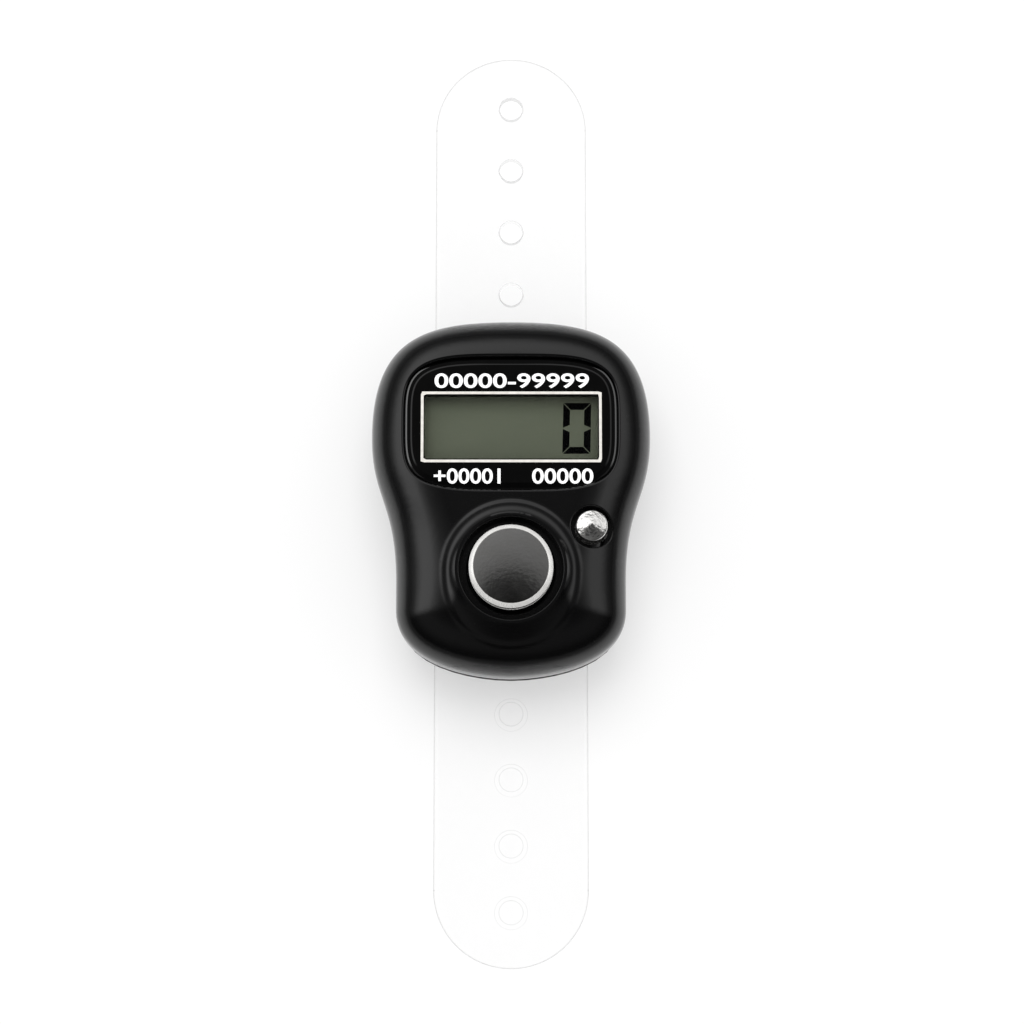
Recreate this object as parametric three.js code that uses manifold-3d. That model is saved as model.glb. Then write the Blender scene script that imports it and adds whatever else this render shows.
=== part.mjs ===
// A finger-worn electronic tally counter: a two-part glossy case with a liquid-crystal display,
// a large count button, a small reset button, a coin-cell door and a clear flexible strap.
// Millimetres, +Z up. The origin is under the centre of the strap, on the surface it rests on.
// +Y points to the display end, +X to the side with the reset button.
import * as THREE from "three";
import { mergeVertices } from "three/addons/utils/BufferGeometryUtils.js";
import Module from "manifold-3d";

const wasm = await Module();
wasm.setup();

// ---- driving dimensions -------------------------------------------------------------------------

// Case outline seen from above: half widths and end positions.
const CHEST = { x: 14.15, y: 5.6 };
const WAIST = { x: 11.6, top: -9.4, bottom: -12.2 };
const NORTH = 17.57;
const SOUTH = -18.95;
const NORTH_HANDLE = { along: 8.5, down: 10.6 };
const WAIST_HANDLE = { upper: 6.25, lower: 8.25 };
const SOUTH_HANDLE = { down: 5.75, along: 3.0 };

// Heights of the case, from the surface the counter rests on.
const FLOOR_LOW = 2.6;
const FLOOR_TOP = 3.8;
const COVER_LOW = 3.9;
const WALL_TOP = 7.75;
const DECK = 13.1;
const CEILING = 11.7;
const WALL = 1.5;
const SHOULDER = { reach: 5.6, skinned: 4.6 };
const INNER_SHOULDER = { reach: 2.2, start: 8.8 };
const WALL_DRAFT = 0.3;
const FLOOR_INSET = 0.3;
const FLOOR_CHAMFER = 0.35;
const LIP = { gap: 0.15, width: 0.95, top: 5.1 };

// Display: lens recess, window in its ledge, and the panel below.
const LENS = { halfX: 10.6, halfY: 6.71, y: 6.08, power: 4, bottom: 11.55, top: 12.45 };
const LENS_GAP = 0.15;
const CORNER = 0.5;
const LEDGE = { low: 10.7, top: 11.4, margin: 0.9 };
const WINDOW = { half: 9.3, low: 1.9, high: 10.0 };
const TAPE = { low: 11.42, top: 11.53, inset: 0.15, gap: 0.2 };
const PANEL = { half: 9.4, low: 1.5, high: 11.2, bottom: 8.9, top: 10.65, shelf: 1.6 };
const FILM_GAP = 0.02;
const REFLECTOR_THICKNESS = 0.2;

// Circuit board and what it carries.
const BOARD = { low: 6.9, top: 7.7, inset: 2.0 };
const CONTACT_GAP = 0.05;

// Buttons: x, y, radii of the cap, its bore and the wider sink above it, and heights.
const COUNT = {
  x: 0, y: -8.85, cap: 4.2, face: 3.76, bore: 4.5, sink: 5.15, collar: 5.6, ring: 6.5, foot: 6.7,
};
const COUNT_Z = {
  top: 15.0, face: 14.86, chamfer: 14.6, rim: 13.7, ring: 13.3,
  sink: 12.2, guide: 10.9, flange: 10.7, bottom: 9.9,
};
const COUNT_FLANGE = 5.1;
const COLLAR_SLOPE = { out: 0.4, middle: 0.14, start: 0.02 };
const COUNT_DOME = { foot: 3.4, crown: 2.3, wall: 0.45, roof: 0.5 };
const RESET = { x: 8.06, y: -4.5, cap: 1.58, tip: 0.35, bore: 1.68, sink: 2.05, guide: 2.45 };
const RESET_Z = { top: 14.0, tip: 13.96, side: 13.13, sink: 11.1, guide: 10.7, flange: 10.5, bottom: 9.8 };
const RESET_FLANGE = 1.88;
const RESET_EDGE = { in: 0.12, up: 0.2 };
const RESET_DOME = { foot: 2.0, crown: 1.5, wall: 0.4, roof: 0.5 };
const PILL_THICKNESS = 0.6;

// Cell, its door and the holder in the back cover.
const CELL = { radius: 5.8, low: 3.45, top: 6.5, cap: 4.9 };
const DOOR = { radius: 6.7, hole: 6.9, top: 3.4 };
const LUG = { inner: 6.0, outer: 7.6, low: 3.5, top: 3.95, spread: 0.5 };
const LUG_TURN = THREE.MathUtils.degToRad(-50);
const HOLDER = {
  inner: 6.05, outer: 6.85, pocket: 7.9, skirt: 8.6, roof: 4.2, shelf: 4.9, top: 6.2, slot: 1.9,
};

// Fasteners.
const CASE_SCREWS = [[9.5, 12.9], [-9.5, 12.9], [8.9, -13.3], [-8.9, -13.3]];
const BOARD_SCREWS = [[-8.6, -5.0], [8.6, -9.4]];
const CASE_SCREW = { head: 1.3, shank: 0.7, low: 2.8, neck: 3.55, tip: 9.4 };
const BOARD_SCREW = { head: 1.1, shank: 0.55, low: 6.2, neck: 6.85, tip: 10.4 };
const SCREW_CLEARANCE = { head: 0.1, shank: 0.2 };
const PILOT = { gap: 0.05, spare: 0.4 };
const BOSS = 1.6;
const BOARD_BOSS = 1.2;

// Strap: a clear band through two belt loops, with holes in one half and studs on the other.
const STRAP = { half: 7.85, end: 47.7, low: 1.1, top: 2.4 };
const PITCH = 6.7;
const FIRST_HOLE = 22.07;
const HOLE_RADIUS = 1.2;
const STUD = { radius: 1.15, head: 1.25, boss: 1.65, bossTop: 2.6, top: 3.5 };
const FIRST_BEND = FIRST_HOLE - 1.5 * PITCH;
const LINKS = 5;
const FIRST_GAP = 1.0;
const LINK_GAP = 0.5;
const LOOP = { near: 7.8, far: 10.6, half: 9.4, inner: 8.2, top: 1.0 };

// Cutters reach PAST the faces they cut, and joined pieces run JOIN into each other.
const PAST = 1;
const JOIN = 0.1;

const FINE = 72;
const MEDIUM = 36;
const COARSE = 20;

// ---- solids -------------------------------------------------------------------------------------

function solidOf(geometry) {
  const bare = geometry.clone();
  bare.deleteAttribute("normal");
  bare.deleteAttribute("uv");
  const merged = mergeVertices(bare, 1e-5);
  return new wasm.Manifold(new wasm.Mesh({
    numProp: 3,
    vertProperties: new Float32Array(merged.attributes.position.array),
    triVerts: new Uint32Array(merged.index.array),
  }));
}

function geometryOf(solid) {
  const mesh = solid.getMesh();
  const geometry = new THREE.BufferGeometry();
  geometry.setAttribute("position", new THREE.BufferAttribute(mesh.vertProperties, 3));
  geometry.setIndex(new THREE.BufferAttribute(mesh.triVerts, 1));
  geometry.computeVertexNormals();
  return geometry;
}

// A plate of a flat shape between two heights.
function plate(shape, low, top, curveSegments = 8) {
  const options = { depth: top - low, bevelEnabled: false, curveSegments };
  return solidOf(new THREE.ExtrudeGeometry(shape, options).translate(0, 0, low));
}

function box(x0, x1, y0, y1, z0, z1) {
  const geometry = new THREE.BoxGeometry(x1 - x0, y1 - y0, z1 - z0);
  return solidOf(geometry.translate((x0 + x1) / 2, (y0 + y1) / 2, (z0 + z1) / 2));
}

function cylinder(radius, low, top, x = 0, y = 0, segments = MEDIUM) {
  const geometry = new THREE.CylinderGeometry(radius, radius, top - low, segments);
  return solidOf(geometry.rotateX(Math.PI / 2).translate(x, y, (low + top) / 2));
}

// A solid of revolution about a vertical axis; the profile holds [radius, height] pairs, going up.
function revolve(profile, x = 0, y = 0, segments = MEDIUM) {
  const points = profile.map(([radius, height]) => new THREE.Vector2(radius, height));
  return solidOf(new THREE.LatheGeometry(points, segments).rotateX(Math.PI / 2).translate(x, y, 0));
}

function roundedRectangle(x0, x1, y0, y1, radius) {
  const shape = new THREE.Shape();
  shape.absarc(x1 - radius, y1 - radius, radius, 0, Math.PI / 2);
  shape.absarc(x0 + radius, y1 - radius, radius, Math.PI / 2, Math.PI);
  shape.absarc(x0 + radius, y0 + radius, radius, Math.PI, 1.5 * Math.PI);
  shape.absarc(x1 - radius, y0 + radius, radius, 1.5 * Math.PI, 2 * Math.PI);
  return shape;
}

// A sector of a ring, centred on the given direction.
function sector(inner, outer, direction, spread) {
  const shape = new THREE.Shape();
  shape.absarc(0, 0, outer, direction - spread / 2, direction + spread / 2);
  shape.absarc(0, 0, inner, direction + spread / 2, direction - spread / 2, true);
  return shape;
}

// ---- case outline -------------------------------------------------------------------------------

function caseOutline() {
  const shape = new THREE.Shape();
  const { x: chest, y: chestY } = CHEST;
  const { x: waist, top: waistTop, bottom: waistBottom } = WAIST;
  const shoulderY = chestY + NORTH_HANDLE.down;
  const breastY = chestY - WAIST_HANDLE.upper;
  const hipY = waistTop + WAIST_HANDLE.lower;
  const heelY = waistBottom - SOUTH_HANDLE.down;
  shape.moveTo(0, SOUTH);
  shape.bezierCurveTo(SOUTH_HANDLE.along, SOUTH, waist, heelY, waist, waistBottom);
  shape.lineTo(waist, waistTop);
  shape.bezierCurveTo(waist, hipY, chest, breastY, chest, chestY);
  shape.bezierCurveTo(chest, shoulderY, NORTH_HANDLE.along, NORTH, 0, NORTH);
  shape.bezierCurveTo(-NORTH_HANDLE.along, NORTH, -chest, shoulderY, -chest, chestY);
  shape.bezierCurveTo(-chest, breastY, -waist, hipY, -waist, waistTop);
  shape.lineTo(-waist, waistBottom);
  shape.bezierCurveTo(-waist, heelY, -SOUTH_HANDLE.along, SOUTH, 0, SOUTH);
  return shape;
}

// Evenly spaced outline points, moved inwards by the inset.
function insetOutline(inset, count) {
  const shape = caseOutline();
  return Array.from({ length: count }, (_, i) => {
    const point = shape.getPointAt(i / count);
    const along = shape.getTangentAt(i / count);
    return new THREE.Vector2(point.x - along.y * inset, point.y + along.x * inset);
  });
}

const insetShape = (inset, count = FINE) => new THREE.Shape(insetOutline(inset, count));

// A closed body skinned over outline rings, each with its own inset and height, going up.
function skinned(levels, count) {
  const positions = [];
  const index = [];
  for (const [inset, height] of levels) {
    for (const point of insetOutline(inset, count)) positions.push(point.x, point.y, height);
  }
  for (let level = 0; level + 1 < levels.length; level += 1) {
    for (let i = 0; i < count; i += 1) {
      const a = level * count + i;
      const b = level * count + ((i + 1) % count);
      index.push(a, b, b + count, a, b + count, a + count);
    }
  }
  const last = (levels.length - 1) * count;
  for (const [a, b, c] of THREE.ShapeUtils.triangulateShape(insetOutline(levels[0][0], count), [])) {
    index.push(a, c, b);
  }
  for (const [a, b, c] of THREE.ShapeUtils.triangulateShape(insetOutline(levels.at(-1)[0], count), [])) {
    index.push(last + a, last + b, last + c);
  }
  const geometry = new THREE.BufferGeometry();
  geometry.setAttribute("position", new THREE.Float32BufferAttribute(positions, 3));
  geometry.setIndex(index);
  return solidOf(geometry);
}

// Levels of an elliptical shoulder from the wall top towards the deck, stopping at the last inset.
function shoulderLevels(inset, reach, wallTop, deck, steps, lastInset = inset + reach) {
  const lastAngle = Math.acos(1 - (lastInset - inset) / reach);
  return Array.from({ length: steps + 1 }, (_, i) => {
    const angle = (i / steps) * lastAngle;
    return [inset + reach * (1 - Math.cos(angle)), wallTop + (deck - wallTop) * Math.sin(angle)];
  });
}

// ---- case ---------------------------------------------------------------------------------------

// The lens outline is a superellipse, wider and taller by the given amount on every side.
function lensShape(grow, count = 48) {
  const bend = 2 / LENS.power;
  const points = Array.from({ length: count }, (_, i) => {
    const turn = (i / count) * 2 * Math.PI;
    const across = Math.cos(turn);
    const up = Math.sin(turn);
    return new THREE.Vector2(
      (LENS.halfX + grow) * Math.sign(across) * Math.abs(across) ** bend,
      LENS.y + (LENS.halfY + grow) * Math.sign(up) * Math.abs(up) ** bend,
    );
  });
  return new THREE.Shape(points);
}

// The rim around the count button: a hollow slope from a level ring up to the edge of the sink.
function countCollar() {
  const { x, y, collar, ring, foot } = COUNT;
  const low = CEILING + 2 * JOIN;
  return revolve([
    [0, low], [foot, low], [foot, COUNT_Z.ring], [ring, COUNT_Z.ring + COLLAR_SLOPE.start],
    [collar + COLLAR_SLOPE.out, COUNT_Z.ring + COLLAR_SLOPE.middle],
    [collar, COUNT_Z.rim], [0, COUNT_Z.rim],
  ], x, y);
}

function frontCover() {
  const shoulder = shoulderLevels(0, SHOULDER.reach, WALL_TOP, DECK, 8, SHOULDER.skinned);
  const outer = skinned([[WALL_DRAFT, COVER_LOW], ...shoulder], FINE);
  const inner = shoulderLevels(WALL, INNER_SHOULDER.reach, INNER_SHOULDER.start, CEILING, 4);
  const hollow = skinned([[WALL, COVER_LOW - PAST], ...inner], MEDIUM);
  let fittings = plate(lensShape(LEDGE.margin), LEDGE.low, CEILING + JOIN);
  fittings = fittings.add(cylinder(COUNT.collar, COUNT_Z.guide, CEILING + 3 * JOIN, COUNT.x, COUNT.y));
  fittings = fittings.add(cylinder(RESET.guide, RESET_Z.guide, CEILING, RESET.x, RESET.y, COARSE));
  for (const [x, y] of CASE_SCREWS) {
    fittings = fittings.add(cylinder(BOSS, LIP.top + 0.2, CEILING + 3 * JOIN, x, y, COARSE));
  }
  for (const [x, y] of BOARD_SCREWS) {
    fittings = fittings.add(cylinder(BOARD_BOSS, BOARD.top + CONTACT_GAP, CEILING + 3 * JOIN, x, y, COARSE));
  }
  let body = outer.subtract(hollow).add(fittings.intersect(outer)).add(countCollar());
  body = body.subtract(plate(lensShape(LENS_GAP), LEDGE.top, DECK + PAST));
  const window = roundedRectangle(-WINDOW.half, WINDOW.half, WINDOW.low, WINDOW.high, CORNER);
  body = body.subtract(plate(window, LEDGE.low - PAST, LEDGE.top + PAST));
  body = body.subtract(cylinder(COUNT.bore, COUNT_Z.guide - PAST, COUNT_Z.rim + PAST, COUNT.x, COUNT.y));
  body = body.subtract(cylinder(COUNT.sink, COUNT_Z.sink, COUNT_Z.rim + PAST, COUNT.x, COUNT.y));
  body = body.subtract(cylinder(RESET.bore, RESET_Z.guide - PAST, DECK + PAST, RESET.x, RESET.y, COARSE));
  body = body.subtract(cylinder(RESET.sink, RESET_Z.sink, DECK + PAST, RESET.x, RESET.y, COARSE));
  for (const [x, y] of CASE_SCREWS) {
    const pilot = CASE_SCREW.shank + PILOT.gap;
    body = body.subtract(cylinder(pilot, FLOOR_TOP, CASE_SCREW.tip + PILOT.spare, x, y, COARSE));
  }
  for (const [x, y] of BOARD_SCREWS) {
    const pilot = BOARD_SCREW.shank + PILOT.gap;
    body = body.subtract(cylinder(pilot, BOARD.low, BOARD_SCREW.tip + PILOT.spare, x, y, COARSE));
  }
  return body;
}

// The belt loop: a bar under the strap on two posts, centred on the given y.
function beltLoop(side) {
  const near = side * LOOP.near;
  const far = side * LOOP.far;
  const [y0, y1] = near < far ? [near, far] : [far, near];
  const bar = plate(roundedRectangle(-LOOP.half, LOOP.half, y0, y1, 1.0), 0, FLOOR_LOW + JOIN);
  return bar.subtract(box(-LOOP.inner, LOOP.inner, y0 - PAST, y1 + PAST, LOOP.top, FLOOR_LOW + PAST));
}

function backCover() {
  let body = skinned([
    [FLOOR_INSET + FLOOR_CHAMFER, FLOOR_LOW],
    [FLOOR_INSET, FLOOR_LOW + FLOOR_CHAMFER],
    [FLOOR_INSET, FLOOR_TOP],
  ], FINE);
  const inside = plate(insetShape(WALL + LIP.gap, MEDIUM), FLOOR_TOP - JOIN, LIP.top);
  const core = plate(insetShape(WALL + LIP.gap + LIP.width, MEDIUM), FLOOR_TOP - PAST, LIP.top + PAST);
  const lip = inside.subtract(core);
  body = body.add(lip).add(cylinder(HOLDER.skirt, FLOOR_TOP - JOIN, HOLDER.shelf));
  body = body.add(cylinder(HOLDER.outer, HOLDER.shelf - JOIN, HOLDER.top));
  for (const [x, y] of CASE_SCREWS) {
    body = body.add(cylinder(BOSS + 0.2, FLOOR_TOP - JOIN, LIP.top, x, y, COARSE).intersect(inside));
  }
  body = body.subtract(cylinder(DOOR.hole, FLOOR_LOW - PAST, DOOR.top + JOIN));
  body = body.subtract(cylinder(HOLDER.pocket, DOOR.top, HOLDER.roof));
  body = body.subtract(cylinder(HOLDER.inner, FLOOR_LOW, HOLDER.top + PAST));
  for (const turn of [0, Math.PI]) {
    const notch = sector(LUG.inner, HOLDER.pocket - JOIN, Math.PI / 2 + turn + LUG_TURN, LUG.spread + 0.08);
    body = body.subtract(plate(notch, FLOOR_LOW - PAST, DOOR.top + JOIN));
  }
  const slot = [CELL.radius - PAST, HOLDER.outer + PAST, -HOLDER.slot, HOLDER.slot];
  body = body.subtract(box(...slot, HOLDER.roof + JOIN, HOLDER.top + PAST));
  for (const [x, y] of CASE_SCREWS) {
    const head = CASE_SCREW.head + SCREW_CLEARANCE.head;
    body = body.subtract(cylinder(head, 0, CASE_SCREW.neck + SCREW_CLEARANCE.head, x, y, COARSE));
    const shank = CASE_SCREW.shank + SCREW_CLEARANCE.shank;
    body = body.subtract(cylinder(shank, 0, LIP.top + PAST, x, y, COARSE));
  }
  for (const side of [1, -1]) body = body.add(beltLoop(side));
  return body;
}

// ---- display ------------------------------------------------------------------------------------

const displayLens = () => plate(lensShape(0), LENS.bottom, LENS.top);

function lensTape() {
  const { half, low, high } = WINDOW;
  const { inset, gap } = TAPE;
  const outline = roundedRectangle(-half - gap, half + gap, low - gap, high + gap, CORNER);
  const opening = plate(outline, TAPE.low - PAST, TAPE.top + PAST);
  return plate(lensShape(-inset), TAPE.low, TAPE.top).subtract(opening);
}

// Two glass plates: the front one reaches further, for the row of contacts along its edge.
function lcdPanel() {
  const { half, low, high, bottom, top, shelf } = PANEL;
  const middle = (bottom + top) / 2;
  const front = box(-half, half, low, high, middle - FILM_GAP, top);
  const rear = box(-half, half, low, high - shelf, bottom + REFLECTOR_THICKNESS, middle);
  return front.add(rear);
}

function lcdReflector() {
  const margin = 0.4;
  const reach = PANEL.half - margin;
  const top = PANEL.bottom + REFLECTOR_THICKNESS - FILM_GAP;
  return box(-reach, reach, PANEL.low + margin, PANEL.high - PANEL.shelf - margin, PANEL.bottom, top);
}

function zebraStrip() {
  const reach = PANEL.half - 0.6;
  const top = (PANEL.bottom + PANEL.top) / 2 - 2 * FILM_GAP;
  return box(-reach, reach, PANEL.high - 1.3, PANEL.high - 0.3, BOARD.top + FILM_GAP, top);
}

function lcdFoam() {
  return box(-6.5, 6.5, PANEL.low + 0.5, PANEL.low + 2.0, BOARD.top + FILM_GAP, PANEL.bottom - FILM_GAP);
}

// ---- circuit board ------------------------------------------------------------------------------

function circuitBoard() {
  let board = plate(insetShape(BOARD.inset, MEDIUM), BOARD.low, BOARD.top);
  for (const [x, y] of CASE_SCREWS) {
    board = board.subtract(cylinder(BOSS + 0.3, BOARD.low - PAST, BOARD.top + PAST, x, y, COARSE));
  }
  for (const [x, y] of BOARD_SCREWS) {
    const hole = BOARD_SCREW.shank + SCREW_CLEARANCE.shank;
    board = board.subtract(cylinder(hole, BOARD.low - PAST, BOARD.top + PAST, x, y, COARSE));
  }
  return board;
}

// The counter chip, bonded to the board and covered by a drop of black epoxy.
function chipBlob() {
  const radius = 2.7;
  const height = 1.0;
  const profile = [[0, BOARD.low - FILM_GAP - height]];
  for (const angle of [20, 40, 60, 80]) {
    const turn = THREE.MathUtils.degToRad(angle);
    profile.push([radius * Math.sin(turn), BOARD.low - FILM_GAP - height * Math.cos(turn)]);
  }
  profile.push([radius, BOARD.low - FILM_GAP], [0, BOARD.low - FILM_GAP]);
  return revolve(profile, 0, 12.2, COARSE);
}

function surfacePart(x, y, length, width, height) {
  const top = BOARD.low - FILM_GAP;
  return box(x - length / 2, x + length / 2, y - width / 2, y + width / 2, top - height, top);
}

// A blade that presses on the side of the cell, with a foot soldered to the board.
function positiveContact() {
  const face = CELL.radius + CONTACT_GAP;
  const foot = BOARD.low - FILM_GAP;
  return box(face, face + 0.2, -1.5, 1.5, HOLDER.roof + 0.4, foot)
    .add(box(face + 0.1, face + 2.6, -1.5, 1.5, foot - 0.2, foot));
}

// A thin leaf over the cell's small face, with a foot soldered to the board.
function negativeContact() {
  const foot = BOARD.low - FILM_GAP;
  const leaf = CELL.top + CONTACT_GAP;
  return box(-9.0, -6.9, -1.4, 1.4, foot - 0.2, foot)
    .add(box(-7.1, 2.0, -1.0, 1.0, leaf, leaf + 0.15))
    .add(box(-7.1, -6.9, -1.0, 1.0, leaf, foot));
}

// ---- cell and door ------------------------------------------------------------------------------

function buttonCell() {
  return revolve([
    [0, CELL.low], [CELL.radius - 0.3, CELL.low], [CELL.radius, CELL.low + 0.3],
    [CELL.radius, CELL.top - 0.45], [CELL.radius - 0.25, CELL.top - 0.2], [CELL.cap, CELL.top - 0.2],
    [CELL.cap - 0.2, CELL.top], [0, CELL.top],
  ]);
}

// A round door turned with a coin; two lugs lock it under the rim of its hole.
function batteryDoor() {
  let door = cylinder(DOOR.radius, FLOOR_LOW, DOOR.top);
  for (const direction of [Math.PI / 2, -Math.PI / 2]) {
    const root = sector(LUG.inner, DOOR.radius - 0.05, direction, LUG.spread);
    const lug = sector(LUG.inner, LUG.outer, direction, LUG.spread);
    door = door.add(plate(root, DOOR.top - JOIN, LUG.top)).add(plate(lug, LUG.low, LUG.top));
  }
  return door.subtract(plate(roundedRectangle(-4, 4, -0.75, 0.75, 0.7), FLOOR_LOW - PAST, FLOOR_LOW + 0.4));
}

// ---- buttons ------------------------------------------------------------------------------------

function countButton() {
  const { cap, face } = COUNT;
  const { top, chamfer, flange, bottom } = COUNT_Z;
  return revolve([
    [0, bottom], [COUNT_FLANGE, bottom], [COUNT_FLANGE, flange], [cap, flange], [cap, chamfer],
    [face, COUNT_Z.face], [face / 2, (COUNT_Z.face + 3 * top) / 4], [0, top],
  ], COUNT.x, COUNT.y);
}

function resetButton() {
  const { cap, tip } = RESET;
  const { top, side, flange, bottom } = RESET_Z;
  return revolve([
    [0, bottom], [RESET_FLANGE, bottom], [RESET_FLANGE, flange], [cap, flange], [cap, side],
    [cap - RESET_EDGE.in, side + RESET_EDGE.up], [tip, RESET_Z.tip], [0, top],
  ], RESET.x, RESET.y, COARSE);
}

// A silicone dome that stands on the board, open below, and carries one button.
function rubberDome(button, dome, top) {
  const low = BOARD.top + FILM_GAP;
  return revolve([
    [dome.foot - dome.wall, low], [dome.foot, low], [dome.foot, low + 0.3],
    [dome.crown, top - dome.roof], [dome.crown, top], [0, top], [0, top - dome.roof],
    [dome.crown - dome.wall, top - dome.roof], [dome.foot - dome.wall, low + 0.3],
    [dome.foot - dome.wall, low],
  ], button.x, button.y, COARSE);
}

// The carbon pill under a dome's roof, which closes the switch on the board.
function contactPill(button, dome, top) {
  const high = top - dome.roof - 0.03;
  return cylinder(dome.crown - dome.wall - 0.15, high - PILL_THICKNESS, high, button.x, button.y, COARSE);
}

const DOME_GAP = 0.04;
const COUNT_DOME_TOP = COUNT_Z.bottom - DOME_GAP;
const RESET_DOME_TOP = RESET_Z.bottom - DOME_GAP;

// ---- fasteners ----------------------------------------------------------------------------------

// A self-tapping cross-head screw, driven from below.
function screw(size, x, y) {
  const { head, shank, low, neck, tip } = size;
  const body = revolve([
    [0, low], [head * 0.75, low], [head, low + 0.25], [head, neck], [shank, neck],
    [shank, tip - shank], [0, tip],
  ], x, y, COARSE);
  const arm = head * 0.6;
  const slot = head * 0.14;
  const cross = box(x - arm, x + arm, y - slot, y + slot, low - PAST, low + 0.4)
    .add(box(x - slot, x + slot, y - arm, y + arm, low - PAST, low + 0.4));
  return body.subtract(cross);
}

// ---- strap --------------------------------------------------------------------------------------

const strapMiddle = () => {
  const reach = FIRST_BEND - FIRST_GAP / 2;
  return box(-STRAP.half, STRAP.half, -reach, reach, STRAP.low, STRAP.top);
};

// One link of the strap's bending half, between two bend lines; the last one ends in a half circle.
function linkShape(number) {
  const start = FIRST_BEND + PITCH * (number - 1) + (number === 1 ? FIRST_GAP : LINK_GAP) / 2;
  const end = FIRST_BEND + PITCH * number - LINK_GAP / 2;
  const shape = new THREE.Shape();
  shape.moveTo(-STRAP.half, start);
  shape.lineTo(STRAP.half, start);
  if (number < LINKS) {
    shape.lineTo(STRAP.half, end);
    shape.lineTo(-STRAP.half, end);
  } else {
    shape.absarc(0, STRAP.end - STRAP.half, STRAP.half, 0, Math.PI);
  }
  return shape;
}

const holeY = (number) => FIRST_HOLE + PITCH * (number - 2);

function holeLink(number) {
  const link = plate(linkShape(number), STRAP.low, STRAP.top, COARSE);
  if (number === 1) return link;
  return link.subtract(cylinder(HOLE_RADIUS, STRAP.low - PAST, STRAP.top + PAST, 0, holeY(number), COARSE));
}

function studLink(number) {
  const link = plate(linkShape(number), STRAP.low, STRAP.top, COARSE).rotate([0, 0, 180]);
  if (number === 1) return link;
  const stud = revolve([
    [0, STRAP.top - 0.2], [STUD.boss, STRAP.top - 0.2], [STUD.boss, STUD.bossTop],
    [STUD.radius, STUD.bossTop], [STUD.radius, STUD.top - 0.5], [STUD.head, STUD.top - 0.35],
    [STUD.radius, STUD.top - 0.1], [STUD.radius - 0.2, STUD.top], [0, STUD.top],
  ], 0, -holeY(number), COARSE);
  return link.add(stud);
}

// ---- materials and assembly ---------------------------------------------------------------------

const finish = (color, roughness, metalness = 0, more = {}) => (
  new THREE.MeshStandardMaterial({ color, roughness, metalness, ...more }));

const BLACK_GLOSS = finish(0x101012, 0.22);
const BLACK_SATIN = finish(0x17171a, 0.45);
const CHROME = finish(0xdadada, 0.08, 1);
const LENS_CLEAR = finish(0x0a0a0c, 0.05, 0, { transparent: true, opacity: 0.5 });
const LCD_GLASS = finish(0x5c6454, 0.3);
const SILVER_FILM = finish(0xb9bcb4, 0.35, 0.6);
const TAPE_BLACK = finish(0x1c1c1c, 0.9);
const ZEBRA_RUBBER = finish(0xcfc6b4, 0.7);
const FOAM_GREY = finish(0x55585c, 0.95);
const BOARD_GREEN = finish(0x1f5a35, 0.5);
const EPOXY_BLACK = finish(0x0c0c0c, 0.35);
const CERAMIC_TAN = finish(0xb08a5a, 0.6);
const RUBBER_GREY = finish(0x9a9da0, 0.75);
const CARBON_BLACK = finish(0x18181a, 0.85);
const CELL_STEEL = finish(0xc4c6c8, 0.25, 1);
const SPRING_STEEL = finish(0xb4b6b8, 0.3, 1);
const SCREW_ZINC = finish(0xa8aaac, 0.35, 1);
const CLEAR_SOFT = finish(0xf4f7f8, 0.2, 0, { transparent: true, opacity: 0.35 });

const counter = new THREE.Group();

function place(name, solid, material) {
  const mesh = new THREE.Mesh(geometryOf(solid), material.clone());
  mesh.name = name;
  counter.add(mesh);
}

place("front_cover", frontCover(), BLACK_GLOSS);
place("back_cover", backCover(), BLACK_SATIN);
place("display_lens", displayLens(), LENS_CLEAR);
place("lens_tape", lensTape(), TAPE_BLACK);
place("lcd_panel", lcdPanel(), LCD_GLASS);
place("lcd_reflector", lcdReflector(), SILVER_FILM);
place("zebra_strip", zebraStrip(), ZEBRA_RUBBER);
place("lcd_support_foam", lcdFoam(), FOAM_GREY);
place("circuit_board", circuitBoard(), BOARD_GREEN);
place("chip_blob", chipBlob(), EPOXY_BLACK);
place("timing_capacitor", surfacePart(-5.2, 11.6, 1.6, 0.8, 0.8), CERAMIC_TAN);
place("timing_resistor", surfacePart(5.2, 11.6, 1.6, 0.8, 0.5), EPOXY_BLACK);
place("cell_positive_contact", positiveContact(), SPRING_STEEL);
place("cell_negative_contact", negativeContact(), SPRING_STEEL);
place("button_cell", buttonCell(), CELL_STEEL);
place("battery_door", batteryDoor(), BLACK_SATIN);
place("count_button", countButton(), CHROME);
place("count_rubber_dome", rubberDome(COUNT, COUNT_DOME, COUNT_DOME_TOP), RUBBER_GREY);
place("count_contact_pill", contactPill(COUNT, COUNT_DOME, COUNT_DOME_TOP), CARBON_BLACK);
place("reset_button", resetButton(), CHROME);
place("reset_rubber_dome", rubberDome(RESET, RESET_DOME, RESET_DOME_TOP), RUBBER_GREY);
place("reset_contact_pill", contactPill(RESET, RESET_DOME, RESET_DOME_TOP), CARBON_BLACK);
CASE_SCREWS.forEach(([x, y], i) => place(`case_screw_${i + 1}`, screw(CASE_SCREW, x, y), SCREW_ZINC));
BOARD_SCREWS.forEach(([x, y], i) => place(`board_screw_${i + 1}`, screw(BOARD_SCREW, x, y), SCREW_ZINC));
place("strap_middle", strapMiddle(), CLEAR_SOFT);
for (let number = 1; number <= LINKS; number += 1) {
  place(`strap_hole_link_${number}`, holeLink(number), CLEAR_SOFT);
  place(`strap_stud_link_${number}`, studLink(number), CLEAR_SOFT);
}

export default counter;
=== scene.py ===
# The looks of a finger-worn tally counter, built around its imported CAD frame.
# Shapes are worked out in millimetres and turned into metres when a mesh is made.
import math

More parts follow.
